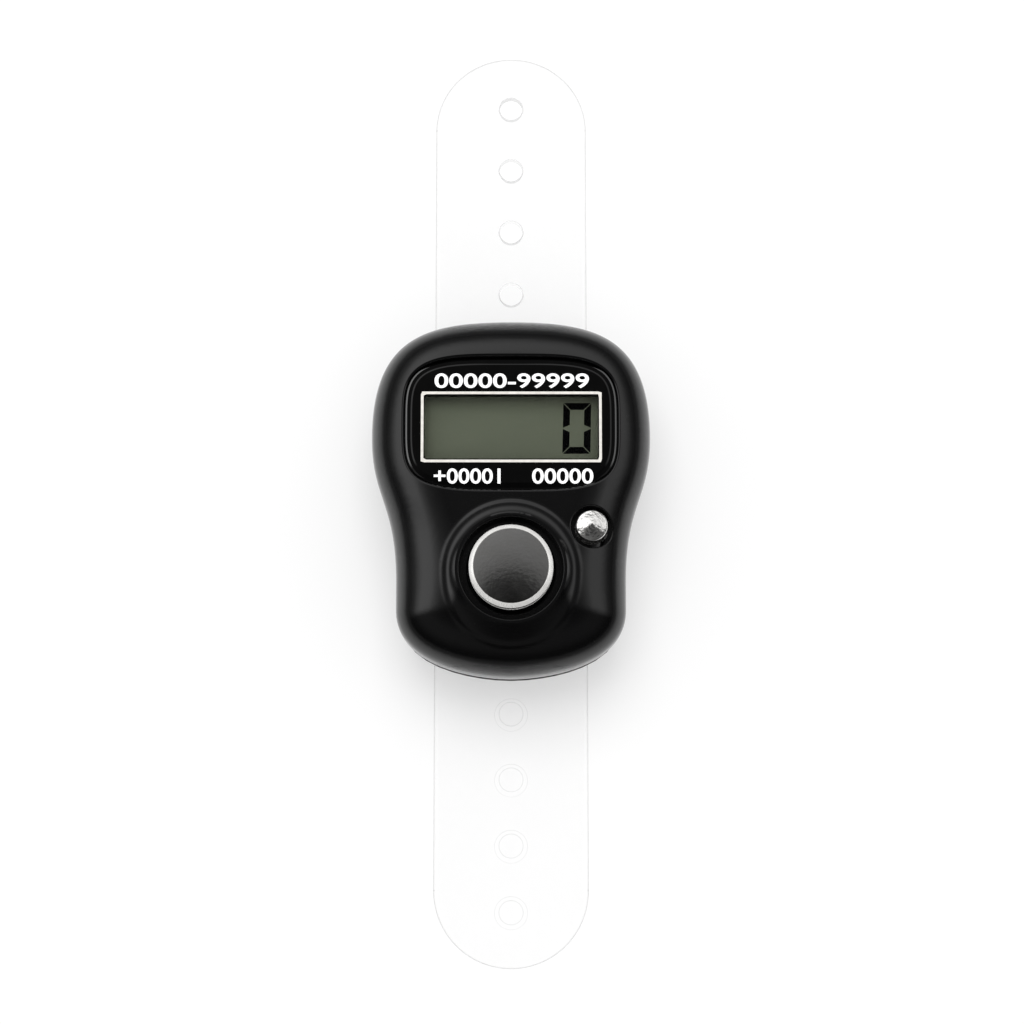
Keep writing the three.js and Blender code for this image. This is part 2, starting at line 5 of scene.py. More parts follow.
import bpy
import numpy as np
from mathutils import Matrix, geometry


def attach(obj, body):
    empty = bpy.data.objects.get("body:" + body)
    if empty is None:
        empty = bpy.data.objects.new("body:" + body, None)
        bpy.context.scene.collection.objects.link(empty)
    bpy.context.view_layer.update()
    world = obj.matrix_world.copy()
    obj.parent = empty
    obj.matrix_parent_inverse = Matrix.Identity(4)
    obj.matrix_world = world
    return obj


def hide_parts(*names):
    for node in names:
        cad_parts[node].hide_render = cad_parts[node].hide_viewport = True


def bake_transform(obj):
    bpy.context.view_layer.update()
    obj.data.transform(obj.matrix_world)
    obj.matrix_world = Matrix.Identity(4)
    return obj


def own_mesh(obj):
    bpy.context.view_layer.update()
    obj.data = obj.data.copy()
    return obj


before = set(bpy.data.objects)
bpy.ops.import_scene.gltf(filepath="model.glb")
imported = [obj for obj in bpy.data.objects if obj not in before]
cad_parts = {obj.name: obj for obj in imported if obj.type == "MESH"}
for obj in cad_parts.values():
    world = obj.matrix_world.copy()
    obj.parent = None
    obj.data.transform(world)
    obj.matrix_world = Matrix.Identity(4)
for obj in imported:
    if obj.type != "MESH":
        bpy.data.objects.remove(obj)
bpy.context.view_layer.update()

MM = 0.001
NO_POINTS = np.empty((0, 2))

# ---- sizes, in millimetres ----

# the case from above: half widths, ends, and how far the handles of its curves reach
CHEST_X = 14.15
CHEST_Y = 5.6
WAIST_X = 11.6
WAIST_TOP = -9.4
WAIST_BOTTOM = -12.2
NORTH = 17.57
SOUTH = -18.95
SOUTH_REACH = 3.0
WAIST_REACH_SOUTH = 5.75
WAIST_REACH_NORTH = 8.25
CHEST_REACH_SOUTH = 6.25
CHEST_REACH_NORTH = 10.6
NORTH_REACH = 8.5
# the front cover, and the space inside it
COVER_LOW = 3.9
COVER_LIP = 0.12
DECK = 13.1
WALL_TOP = DECK - 5.35
WALL = 1.5
DRAFT = 0.3
SHOULDER_NORTH = 6.0
SHOULDER_SOUTH = 7.2
SHOULDER_WIDENS = (-1.0, -8.0)
LOFTED_DEPTH = 0.25
CEILING = 11.7
CEILING_START = 8.8
HOLE_ROUND = 0.2
INNER_SHOULDER = 2.2

# the lens, its print, and the display below it
LENS_X = 10.6
LENS_Y = 6.71
LENS_MIDDLE = 6.08
LENS_GAP = 0.15
RECESS_ROUND = 0.26
LENS_LOW = 11.55
LENS_TOP = 12.45
LENS_RIM = 0.15
LENS_BEVEL = 0.5
LENS_SLOPE = math.radians(27)
RECESS_FLOOR = 11.4
LEDGE_LOW = 10.7
LEDGE_MARGIN = 0.9
# boxes are (west, east, south, north)
WINDOW = (-9.3, 9.3, 1.9, 10.0)
CLEAR = (-8.70, 8.74, 2.48, 8.99)
GLASS = (-9.4, 9.4, 1.5, 11.2)
GLASS_LOW = 8.9
GLASS_TOP = 10.65
BORDER_OUTSIDE = (-9.06, 9.12, 2.10, 9.37)
BORDER_INSIDE = (-8.79, 8.85, 2.37, 9.10)
FIGURE_WEIGHT = 0.016
FIGURE_DEPTH = 0.02
RANGE_BOX = (-7.7, 7.85, 9.72, 11.25)
STEP_BOX = (-7.74, -1.05, -0.1, 1.48)
NOUGHTS_BOX = (2.11, 8.25, -0.1, 1.48)
DIGIT = (5.22, 8.02, 3.37, 8.53)
SEGMENT = 0.68
SEGMENT_GAP = 0.07
SEGMENT_SLANT = 0.018

# the buttons, and the collar round the larger one
COUNT_X = 0.0
COUNT_Y = -8.85
COUNT_FACE = 3.76
COUNT_CROWN = 0.14
COUNT_CHAMFER = math.radians(30)
COUNT_SOFT = 0.07
COUNT_CAP = 4.2
COUNT_CAP_LOW = 14.36
COUNT_BEAD = (13.4, 13.64, 0.05)     # lowest, highest, outwards
COUNT_LOW = 9.9
COUNT_TOP = 15.0
COUNT_FLANGE = (5.1, 10.7)           # radius, top
COUNT_SINK = 5.15
COUNT_FLOOR = 12.2
COUNT_RIM = 13.7
COUNT_BORE = 4.5
GUIDE = 5.55
GUIDE_LOW = 10.9
COLLAR_START = 5.6
COLLAR_RING = 6.65
COLLAR_RING_SOUTH = 7.4
COLLAR_LIFT = 0.2
COLLAR_SOFT = 0.5
COLLAR_BEND = 0.02     # how gently the collar's slope runs out at its foot
RESET_X = 8.06
RESET_Y = -4.5
RESET_CAP = 1.58
RESET_CAP_LOW = 12.5
RESET_SLOPE = math.radians(26)
RESET_EDGE = 0.22
RESET_TIP = 0.35
RESET_LOW = 9.8
RESET_TOP = 14.0
RESET_FLANGE = (1.88, 10.5)
RESET_SINK = 2.05
RESET_FLOOR = 11.1
RESET_BORE = 1.68
DOME_LOW = 7.72

# the strap: holes, studs and bend places are a pitch apart, and each half is cut into lengths at LINKS of
# them
STRAP_HALF = 7.85
STRAP_END = 47.7
STRAP_LOW = 1.1
STRAP_TOP = 2.4
STRAP_EDGE = 0.6
STRAP_REACH = STRAP_HALF - STRAP_EDGE
STRAP_STEP = 0.5
PITCH = 6.7
FIRST_HOLE = 22.07
FIRST_BEND = FIRST_HOLE - 1.5 * PITCH
LINKS = 5
HOLE_RADIUS = 1.2
HOLE_EDGE = 0.14
CUT_AFTER = 1.0


# ---- small geometry helpers ----

def bezier(start, handle_a, handle_b, end, count):
    t = np.linspace(0, 1, count)[:, None]
    p = [np.array(q, float) for q in (start, handle_a, handle_b, end)]
    return (1 - t) ** 3 * p[0] + 3 * (1 - t) ** 2 * t * p[1] + 3 * (1 - t) * t ** 2 * p[2] + t ** 3 * p[3]


def resample(closed, count):
    """The same closed curve with evenly spaced points."""
    loop = np.vstack([closed, closed[:1]])
    length = np.concatenate([[0], np.cumsum(np.linalg.norm(np.diff(loop, axis=0), axis=1))])
    at = np.linspace(0, length[-1], count, endpoint=False)
    return np.column_stack([np.interp(at, length, loop[:, k]) for k in (0, 1)])


def inward(loop):
    """Unit normals of an anticlockwise closed curve, pointing inside."""
    along = np.roll(loop, -1, axis=0) - np.roll(loop, 1, axis=0)
    along /= np.linalg.norm(along, axis=1)[:, None]
    return np.column_stack([-along[:, 1], along[:, 0]])


def case_outline(count):
    """The case seen from above, anticlockwise from the middle of its south end: Bezier curves from there
    to the waist, along the waist, out to the chest and round to the north end, and their mirror image."""
    south, chest, north = (0, SOUTH), (CHEST_X, CHEST_Y), (0, NORTH)
    waist_low, waist_top = (WAIST_X, WAIST_BOTTOM), (WAIST_X, WAIST_TOP)
    right = [
        bezier(south, (SOUTH_REACH, SOUTH), (WAIST_X, WAIST_BOTTOM - WAIST_REACH_SOUTH), waist_low, 400),
        bezier(waist_low, (WAIST_X, -11.2), (WAIST_X, -10.4), waist_top, 60),
        bezier(waist_top, (WAIST_X, WAIST_TOP + WAIST_REACH_NORTH), (CHEST_X, CHEST_Y - CHEST_REACH_SOUTH),
               chest, 400),
        bezier(chest, (CHEST_X, CHEST_Y + CHEST_REACH_NORTH), (NORTH_REACH, NORTH), north, 400),
    ]
    half = np.vstack([part[:-1] for part in right])
    left = np.vstack([half[1:], [north]])[::-1] * (-1, 1)
    return resample(np.vstack([half, left]), count)


def circle(x, y, radius, count):
    turn = np.linspace(0, 2 * math.pi, count, endpoint=False)
    return np.column_stack([x + radius * np.cos(turn), y + radius * np.sin(turn)])


def lens_loop(grow, count=160):
    """The lens outline, a fourth-power superellipse, evenly spaced and moved outwards."""
    turn = np.linspace(0, 2 * math.pi, 1200, endpoint=False)
    across, up = np.cos(turn), np.sin(turn)
    fine = np.column_stack([
        LENS_X * np.sign(across) * np.sqrt(np.abs(across)),
        LENS_MIDDLE + LENS_Y * np.sign(up) * np.sqrt(np.abs(up)),
    ])
    loop = resample(fine, count)
    return loop - inward(loop) * grow


def rectangle_loop(box, radius, step):
    """A rectangle with rounded corners as a closed anticlockwise curve."""
    x0, x1, y0, y1 = box
    corners = [(x1 - radius, y0 + radius, -90), (x1 - radius, y1 - radius, 0),
               (x0 + radius, y1 - radius, 90), (x0 + radius, y0 + radius, 180)]
    points = []
    for x, y, start in corners:
        for angle in np.radians(np.linspace(start, start + 90, 7)):
            points.append((x + radius * math.cos(angle), y + radius * math.sin(angle)))
    points = np.array(points)
    around = np.linalg.norm(np.roll(points, -1, axis=0) - points, axis=1).sum()
    return resample(points, int(around / step))


def inside(points, loop):
    """Which points lie inside a closed curve."""
    x, y = points[:, 0][:, None], points[:, 1][:, None]
    x0, y0 = loop[:, 0][None], loop[:, 1][None]
    x1, y1 = np.roll(loop[:, 0], -1)[None], np.roll(loop[:, 1], -1)[None]
    with np.errstate(divide="ignore", invalid="ignore"):
        crosses = ((y0 > y) != (y1 > y)) & (x < (x1 - x0) * (y - y0) / (y1 - y0) + x0)
    return crosses.sum(axis=1) % 2 == 1


def between(points, outer, holes):
    """Which points lie inside the outer curve and outside every hole."""
    keep = inside(points, outer)
    for hole in holes:
        keep &= ~inside(points, hole)
    return keep


def thinned(groups, gap):
    """Points of all groups, in order of rank, leaving out any closer than gap to one already kept."""
    cells = {}
    kept = []
    for number, group in enumerate(groups):
        for point in group:
            cell = (math.floor(point[0] / gap), math.floor(point[1] / gap))
            near = [q for i in (-1, 0, 1) for j in (-1, 0, 1)
                    for q in cells.get((cell[0] + i, cell[1] + j), ())]
            if any((q[0] - point[0]) ** 2 + (q[1] - point[1]) ** 2 < gap * gap for q in near):
                continue
            cells.setdefault(cell, []).append(point)
            if number > 0:
                kept.append(point)
    return np.array(kept)


class Skin:
    """A mesh put together from rings of points, strips between them and flat-meshed regions."""

    def __init__(self):
        self.points = []
        self.faces = []

    def ring(self, xy, z):
        """Adds points and returns their numbers; z is one height or one for each point."""
        heights = np.broadcast_to(np.asarray(z, float), (len(xy),))
        first = len(self.points)
        self.points.extend((float(p[0]), float(p[1]), float(h)) for p, h in zip(xy, heights))
        return list(range(first, first + len(xy)))

    def plan(self, ring):
        """The ring's points seen from above."""
        return np.array([self.points[n][:2] for n in ring])

    def lift(self, ring, height):
        """Moves a ring's points up or down onto a surface."""
        for n, z in zip(ring, height(self.plan(ring))):
            self.points[n] = (*self.points[n][:2], float(z))

    def strip(self, a, b, closed=True):
        """Quads between two rings of the same length; they face right when going from a up to b."""
        count = len(a)
        for i in range(count if closed else count - 1):
            j = (i + 1) % count
            self.faces.append((a[i], a[j], b[j], b[i]))

    def strips(self, rings, closed=True):
        for a, b in zip(rings, rings[1:]):
            self.strip(a, b, closed)

    def wall(self, loop, *heights):
        """A wall along one closed curve, through several heights. Returns its rings."""
        rings = [self.ring(loop, z) for z in heights]
        self.strips(rings)
        return rings

    def cap(self, ring, up=True):
        self.faces.append(tuple(ring) if up else tuple(reversed(ring)))

    def region(self, outer, holes, free, height, up=True):
        """Triangles between an outer ring and hole rings, through free inner points."""
        loops = [outer, *holes]
        known = [n for loop in loops for n in loop]
        inner = self.ring(free, height(free)) if len(free) else []
        numbers = known + inner
        flat = [self.points[n][:2] for n in numbers]
        edges = []
        start = 0
        for loop in loops:
            edges += [(start + i, start + (i + 1) % len(loop)) for i in range(len(loop))]
            start += len(loop)
        made = geometry.delaunay_2d_cdt(flat, edges, [], 0, 1e-7)
        spots = np.array([tuple(v) for v in made[0]])
        source = [numbers[o[0]] for o in made[3]]
        triangles = np.array([f for f in made[2] if len(f) == 3])
        corner = spots[triangles]
        keep = between(corner.mean(axis=1), self.plan(outer), [self.plan(hole) for hole in holes])
        side_a, side_b = corner[:, 1] - corner[:, 0], corner[:, 2] - corner[:, 0]
        turn = side_a[:, 0] * side_b[:, 1] - side_a[:, 1] * side_b[:, 0]
        for triangle, kept, way in zip(triangles, keep, turn):
            if kept and abs(way) > 1e-9:
                a, b, c = (source[n] for n in triangle)
                self.faces.append((a, b, c) if (way > 0) == up else (a, c, b))

    def object(self, name, material, body=None, sharp=35, replaces=(), slot=None):
        mesh = bpy.data.meshes.new(name)
        mesh.from_pydata([(x * MM, y * MM, z * MM) for x, y, z in self.points], [], self.faces)
        mesh.validate()
        mesh.polygons.foreach_set("use_smooth", [True] * len(mesh.polygons))
        mesh.set_sharp_from_angle(angle=math.radians(sharp))
        mesh.materials.append(material)
        piece = bpy.data.objects.new(name, mesh)
        bpy.context.scene.collection.objects.link(piece)
        if body:
            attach(piece, body)
        if replaces:
            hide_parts(*replaces)
        return piece


def revolved(name, profile, x, y, material, segments=128, **told):
    """A piece turned about a vertical axis from (radius, height) points that start and end on it."""
    skin = Skin()
    rings = []
    for radius, z in profile[1:-1]:
        rings.append(skin.ring(circle(x, y, radius, segments), z))
    skin.strips(rings)
    for (_, z), ring, up in ((profile[0], rings[0], False), (profile[-1], rings[-1], True)):
        tip = skin.ring([(x, y)], z)[0]
        for i in range(segments):
            a, b = ring[i], ring[(i + 1) % segments]
            skin.faces.append((a, b, tip) if up else (b, a, tip))
    return skin.object(name, material, **told)


def turned_ring(name, profile, x, y, material, segments=128, **told):
    """A ring turned about a vertical axis from a closed round of (radius, height) points."""
    skin = Skin()
    rings = [skin.ring(circle(x, y, radius, segments), z) for radius, z in profile]
    skin.strips(rings + rings[:1])
    return skin.object(name, material, **told)


# ---- materials ----

def material(name, color, roughness, metallic=0.0, **more):
    """A Principled material; more names its other sockets, such as Coat_Weight."""
    made = bpy.data.materials.new(name)
    made.use_nodes = True
    shader = made.node_tree.nodes["Principled BSDF"]
    shader.inputs["Base Color"].default_value = (*color, 1)
    shader.inputs["Roughness"].default_value = roughness
    shader.inputs["Metallic"].default_value = metallic
    for socket, value in more.items():
        shader.inputs[socket.replace("_", " ")].default_value = value
    return made


def noise(tree, scale, detail=2.0, roughness=0.5):
    """A noise texture in object space; scale counts waves in a millimetre."""
    place = tree.nodes.new("ShaderNodeTexCoord")
    texture = tree.nodes.new("ShaderNodeTexNoise")
    texture.inputs["Scale"].default_value = scale / MM
    texture.inputs["Detail"].default_value = detail
    texture.inputs["Roughness"].default_value = roughness
    tree.links.new(place.outputs["Object"], texture.inputs["Vector"])
    return texture.outputs["Fac"]


def add_bump(made, scale, height, detail=2.0):
    """Fine relief; height is in millimetres."""
    tree = made.node_tree
    bump = tree.nodes.new("ShaderNodeBump")
    bump.inputs["Strength"].default_value = 1.0
    bump.inputs["Distance"].default_value = height * MM
    tree.links.new(noise(tree, scale, detail), bump.inputs["Height"])
    tree.links.new(bump.outputs["Normal"], tree.nodes["Principled BSDF"].inputs["Normal"])
    return made


def math_node(tree, operation, a, b):
    """A sum on two sockets, kept between 0 and 1."""
    node = tree.nodes.new("ShaderNodeMath")
    node.operation = operation
    node.use_clamp = True
    tree.links.new(a, node.inputs[0])
    tree.links.new(b, node.inputs[1])
    return node.outputs[0]


def mix_shaders(tree, output, share, first, second):
    """Sends two shaders to the output; a share of 0 is all first, 1 is all second."""
    choose = tree.nodes.new("ShaderNodeMixShader")
    tree.links.new(share, choose.inputs[0])
    tree.links.new(first.outputs[0], choose.inputs[1])
    tree.links.new(second.outputs[0], choose.inputs[2])
    tree.links.new(choose.outputs[0], output.inputs["Surface"])


def color_ramp(tree, value, stops):
    """Turns a value into a colour by (position, colour) stops; a plain number stands for a grey."""
    ramp = tree.nodes.new("ShaderNodeValToRGB")
    marks = ramp.color_ramp.elements
    marks[0].position, marks[1].position = stops[0][0], stops[-1][0]
    for position, _ in stops[1:-1]:
        marks.new(position)
    for mark, (_, color) in zip(marks, stops):
        mark.color = (*(color if hasattr(color, "__len__") else (color, color, color)), 1)
    tree.links.new(value, ramp.inputs["Fac"])
    return ramp.outputs["Color"]


def vary(made, socket, scale, low, high, detail=3.0):
    """Lets a socket wander between two numbers or two colours."""
    tree = made.node_tree
    color = color_ramp(tree, noise(tree, scale, detail), ((0.35, low), (0.65, high)))
    tree.links.new(color, tree.nodes["Principled BSDF"].inputs[socket])
    return made


def gloss_black():
    made = material("gloss_black", (0.0015, 0.0015, 0.0016), 0.14)
    vary(made, "Roughness", 0.35, 0.13, 0.16)
    vary(made, "Base Color", 0.15, (0.0012, 0.0012, 0.0013), (0.0018, 0.0018, 0.0019))
    return add_bump(made, 2.2, 0.0022)


def satin_black():
    made = material("satin_black", (0.004, 0.004, 0.0045), 0.6, Specular_IOR_Level=0.15)
    vary(made, "Roughness", 1.5, 0.55, 0.65)
    vary(made, "Base Color", 0.3, (0.003, 0.003, 0.0035), (0.005, 0.005, 0.0055))
    return add_bump(made, 6.0, 0.004, 3.0)


def chrome():
    made = material("button_chrome", (0.86, 0.85, 0.83), 0.07, 1.0)
    vary(made, "Roughness", 1.2, 0.05, 0.10)
    vary(made, "Base Color", 0.5, (0.84, 0.83, 0.81), (0.88, 0.87, 0.86))
    return add_bump(made, 3.0, 0.005, 4.0)


# painted glint: the plated rim and bead as a half-matte white copy of the chrome, bright all round in place
# of what the plating mirrors
def rim_painted_glint():
    made = material("rim_painted_glint", (0.93, 0.92, 0.90), 0.25, 0.5)
    vary(made, "Roughness", 1.2, 0.2, 0.3)
    vary(made, "Base Color", 1.5, (0.90, 0.89, 0.87), (0.95, 0.94, 0.92))
    return add_bump(made, 2.0, 0.004, 3.0)


def reset_chrome():
    """Bright plating over an uneven skin, which breaks up what it mirrors."""
    made = material("reset_chrome", (0.92, 0.91, 0.89), 0.08, 1.0)
    vary(made, "Roughness", 1.2, 0.06, 0.10)
    vary(made, "Base Color", 0.5, (0.90, 0.89, 0.87), (0.93, 0.92, 0.91))
    return add_bump(made, 1.7, 0.13, 4.0)


def let_light_through(made):
    """Lamps and scattered light pass straight through a clear piece, so what lies under it is lit."""
    tree = made.node_tree
    path = tree.nodes.new("ShaderNodeLightPath").outputs
    lamp_or_scatter = math_node(tree, "MAXIMUM", path["Is Shadow Ray"], path["Is Diffuse Ray"])
    see_through = tree.nodes.new("ShaderNodeBsdfTransparent")
    mix_shaders(tree, tree.nodes["Material Output"], lamp_or_scatter, tree.nodes["Principled BSDF"],
                see_through)
    return made


def clear_lens():
    made = material("lens_clear", (1.0, 1.0, 1.0), 0.02, IOR=1.2, Transmission_Weight=1.0)
    return let_light_through(add_bump(made, 0.2, 0.0006))


def lens_ink():
    made = material("lens_ink", (0.0005, 0.0005, 0.0005), 0.06, IOR=1.4)
    vary(made, "Roughness", 0.5, 0.05, 0.07)
    return vary(made, "Base Color", 0.8, (0.0004, 0.0004, 0.0004), (0.0008, 0.0008, 0.0008))


def lens_edge():
    made = material("lens_edge", (0.0005, 0.0005, 0.0005), 0.08, IOR=2.0)
    vary(made, "Roughness", 0.5, 0.06, 0.10)
    return vary(made, "Base Color", 0.8, (0.0004, 0.0004, 0.0004), (0.0008, 0.0008, 0.0008))


def label_white():
    made = material("label_white", (0.9, 0.9, 0.9), 0.6)
    return vary(made, "Base Color", 3.0, (0.86, 0.86, 0.86), (0.92, 0.92, 0.92))


def border_silver():
    made = material("border_silver", (0.62, 0.60, 0.56), 0.5)
    return vary(made, "Base Color", 2.0, (0.58, 0.56, 0.52), (0.68, 0.66, 0.62))


def lcd_face():
    made = material("lcd_face", (0.072, 0.083, 0.054), 0.5)
    vary(made, "Base Color", 6.0, (0.068, 0.079, 0.051), (0.076, 0.087, 0.057))
    return add_bump(made, 9.0, 0.0015)


def lcd_ink():
    made = material("lcd_ink", (0.001, 0.001, 0.0015), 0.9, Specular_IOR_Level=0.0)
    return vary(made, "Base Color", 3.0, (0.0002, 0.0002, 0.0003), (0.0004, 0.0004, 0.0005))


def strap_clear():
    """Clear soft plastic with painted shade where it is seen edge on: the colour greys at grazing angles,
    in place of the dark lines its rounded edges show.
    """
    made = material("strap_clear", (1.0, 1.0, 1.0), 0.05, IOR=1.25, Transmission_Weight=1.0)
    vary(made, "Roughness", 0.4, 0.03, 0.07)
    tree = made.node_tree
    # painted shade: the colour darkens where the surface is seen edge on, in place of the dark edge lines
    facing = tree.nodes.new("ShaderNodeLayerWeight")
    edge_shade = color_ramp(tree, facing.outputs["Facing"], ((0.35, 1.0), (0.9, 0.3)))
    tree.links.new(edge_shade, tree.nodes["Principled BSDF"].inputs["Base Color"])
    return let_light_through(add_bump(made, 0.5, 0.001))


def plain(name, low, high, roughness, scale=1.5, metallic=0.0, relief=0.002):
    """A simple finish for an inner part: colour that wanders between two tones, with slight relief."""
    made = material(name, low, roughness, metallic)
    vary(made, "Base Color", scale, low, high)
    return add_bump(made, scale * 3, relief)


LOOK = {
    "gloss_black": gloss_black(),
    "satin_black": satin_black(),
    "chrome": chrome(),
    # rim: a painted glint, a half-matte white copy of the chrome for the count button's rim and bead
    "rim": rim_painted_glint(),
    "reset": reset_chrome(),
    "lens": clear_lens(),
    "ink": lens_ink(),
    "edge": lens_edge(),
    "label": label_white(),
    "border": border_silver(),
    "lcd": lcd_face(),
    "segment": lcd_ink(),
    "strap": strap_clear(),
    "silicone": plain("dome_silicone", (0.40, 0.41, 0.42), (0.52, 0.53, 0.54), 0.6, 2.0),
}


# ---- camera, lights and floor ----

# lengths of the camera and floor are in millimetres, those of the softbox in metres
CAMERA_TILT = math.radians(11)
CAMERA_DISTANCE = 363.0
CAMERA_TARGET = (0.1, -1.92, 7.0)
CAMERA_LENS = 125.7
SENSOR_WIDTH = 36
SOFTBOX_DIRECTION = 100
SOFTBOX_LEAN = 24
SOFTBOX_DISTANCE = 0.7
SOFTBOX_SIZE = 0.5
SOFTBOX_RADIANCE = 3.8
TENT_LIGHT = 1.0
MIRROR_LIGHT = 1.5
FLOOR_GLOW = 0.46
FLOOR_LEVEL = -0.02
FLOOR_REACH = 1500
FLOOR_DIMS = (20, 90)
FLOOR_DIMNESS = 0.85


def add_camera():
    data = bpy.data.cameras.new("camera")
    data.lens = CAMERA_LENS
    data.sensor_width = SENSOR_WIDTH
    camera = bpy.data.objects.new("camera", data)
    x, y, z = CAMERA_TARGET
    back = CAMERA_DISTANCE * math.sin(CAMERA_TILT)
    rise = CAMERA_DISTANCE * math.cos(CAMERA_TILT)
    camera.location = (x * MM, (y - back) * MM, (z + rise) * MM)
    camera.rotation_euler = (CAMERA_TILT, 0, 0)
    bpy.context.scene.collection.objects.link(camera)
    bpy.context.scene.camera = camera


def add_softbox():
    """A light aimed at the object, from a direction anticlockwise from east and leaning off the
    vertical. It adds soft light and shadows only; reflections show the tent."""
    data = bpy.data.lights.new("softbox_north", "AREA")
    data.shape = "RECTANGLE"
    data.size = SOFTBOX_SIZE
    data.size_y = SOFTBOX_SIZE
    data.energy = SOFTBOX_RADIANCE * math.pi * SOFTBOX_SIZE * SOFTBOX_SIZE
    light = bpy.data.objects.new("softbox_north", data)
    turn = math.radians(SOFTBOX_DIRECTION)
    tilt = math.radians(SOFTBOX_LEAN)
    aside = SOFTBOX_DISTANCE * math.sin(tilt)
    light.location = (aside * math.cos(turn), aside * math.sin(turn), SOFTBOX_DISTANCE * math.cos(tilt))
    light.rotation_euler = light.location.to_track_quat("Z", "Y").to_euler()
    light.visible_glossy = False
    light.visible_transmission = False
    bpy.context.scene.collection.objects.link(light)


def direction_ramp(tree, axis, stops):
    """A smooth gradient over one component of the direction, from (value, brightness) stops."""
    place = tree.nodes.new("ShaderNodeTexCoord")
    split = tree.nodes.new("ShaderNodeSeparateXYZ")
    spread = tree.nodes.new("ShaderNodeMapRange")
    spread.inputs["From Min"].default_value = -1
    tree.links.new(place.outputs["Generated"], split.inputs["Vector"])
    tree.links.new(split.outputs[axis], spread.inputs["Value"])
    return color_ramp(tree, spread.outputs["Result"], [((value + 1) / 2, grey) for value, grey in stops])


def add_world():
    """An even white light tent for soft light. Reflections, and rays that leave a clear piece, see it
    as a bright ring, dark overhead where the camera looks in and dim low down and to the south."""
    world = bpy.data.worlds.new("studio")
    world.use_nodes = True
    tree = world.node_tree
    tree.nodes.clear()
    output = tree.nodes.new("ShaderNodeOutputWorld")
    tent = tree.nodes.new("ShaderNodeBackground")
    tent.inputs["Strength"].default_value = TENT_LIGHT
    tree.links.new(direction_ramp(tree, "Y", ((-1, 0.85), (0, 1.0), (1, 1.0))), tent.inputs["Color"])
    mirror = tree.nodes.new("ShaderNodeBackground")
    by_height = direction_ramp(tree, "Z", (
        (0, 0.08), (0.09, 0.12), (0.22, 0.25), (0.42, 0.9), (0.5, 1.0), (0.69, 1.0), (0.77, 0.6),
        (0.87, 0.25), (0.94, 0.16), (0.975, 0.12), (0.985, 0.085), (0.993, 0.02), (1, 0.008)))
    by_north = direction_ramp(tree, "Y", ((-1, 0.1), (-0.22, 0.1), (-0.05, 1.0), (1, 1.0)))
    by_west = direction_ramp(tree, "X", ((-1, 1.0), (-0.4, 0.9), (0.1, 0.65), (1, 0.6)))
    north_west = math_node(tree, "MULTIPLY", by_north, by_west)
    tree.links.new(math_node(tree, "MULTIPLY", by_height, north_west), mirror.inputs["Color"])
    mirror.inputs["Strength"].default_value = MIRROR_LIGHT
    path = tree.nodes.new("ShaderNodeLightPath").outputs
    off_or_through = math_node(tree, "MAXIMUM", path["Is Glossy Ray"], path["Is Transmission Ray"])
    mix_shaders(tree, output, off_or_through, tent, mirror)
    bpy.context.scene.world = world


def add_floor():
    """A pale floor with a slight glow. Reflections see it dim away from the object, as a sheet of paper
    in a dark room."""
    made = material("floor_pale", (0.4, 0.4, 0.4), 0.7, Specular_IOR_Level=0.1)
    vary(made, "Base Color", 0.02, (0.395, 0.395, 0.395), (0.405, 0.405, 0.405))
    tree = made.node_tree
    shader = tree.nodes["Principled BSDF"]
    shader.inputs["Emission Color"].default_value = (1, 1, 1, 1)
    shader.inputs["Emission Strength"].default_value = FLOOR_GLOW
    place = tree.nodes.new("ShaderNodeTexCoord")
    away = tree.nodes.new("ShaderNodeVectorMath")
    away.operation = "LENGTH"
    fade = tree.nodes.new("ShaderNodeMapRange")
    fade.interpolation_type = "SMOOTHSTEP"
    fade.inputs["From Min"].default_value = FLOOR_DIMS[0] * MM
    fade.inputs["From Max"].default_value = FLOOR_DIMS[1] * MM
    fade.inputs["To Max"].default_value = FLOOR_DIMNESS
    dark = tree.nodes.new("ShaderNodeBsdfDiffuse")
    dark.inputs["Color"].default_value = (0.02, 0.02, 0.02, 1)
    tree.links.new(place.outputs["Object"], away.inputs[0])
    tree.links.new(away.outputs["Value"], fade.inputs["Value"])
    path = tree.nodes.new("ShaderNodeLightPath").outputs
    mirrored = math_node(tree, "SUBTRACT", path["Is Glossy Ray"], path["Is Transmission Ray"])
    share = math_node(tree, "MULTIPLY", fade.outputs["Result"], mirrored)
    mix_shaders(tree, tree.nodes["Material Output"], share, shader, dark)
    skin = Skin()
    corners = [(-FLOOR_REACH, -FLOOR_REACH), (FLOOR_REACH, -FLOOR_REACH),
               (FLOOR_REACH, FLOOR_REACH), (-FLOOR_REACH, FLOOR_REACH)]
    skin.cap(skin.ring(corners, FLOOR_LEVEL))
    skin.object("floor", made)


add_camera()
add_world()
add_softbox()
add_floor()
bpy.context.scene.view_settings.view_transform = "Standard"


# ---- front cover ----

OUTLINE = case_outline(720)


def depth_of(points, power=8):
    """A smooth distance to the case outline; exact beside a straight edge."""
    step = np.linalg.norm(OUTLINE[1] - OUTLINE[0])
    straight = math.sqrt(math.pi) * math.gamma((power - 1) / 2) / math.gamma(power / 2)
    result = np.empty(len(points))
    for start in range(0, len(points), 2000):
        part = np.asarray(points[start:start + 2000], float)
        away = np.linalg.norm(part[:, None] - OUTLINE[None], axis=2)
        total = (np.maximum(away, 1e-3) ** -power).sum(axis=1) * step / straight
        result[start:start + 2000] = total ** (-1 / (power - 1))
    return result


def shoulder_width(y):
    """How far the rounded shoulder reaches in from the outline: further beside the count button."""
    north, south = SHOULDER_WIDENS
    t = np.clip((np.asarray(y, float) - north) / (south - north), 0, 1)
    return SHOULDER_NORTH + (SHOULDER_SOUTH - SHOULDER_NORTH) * t * t * (3 - 2 * t)


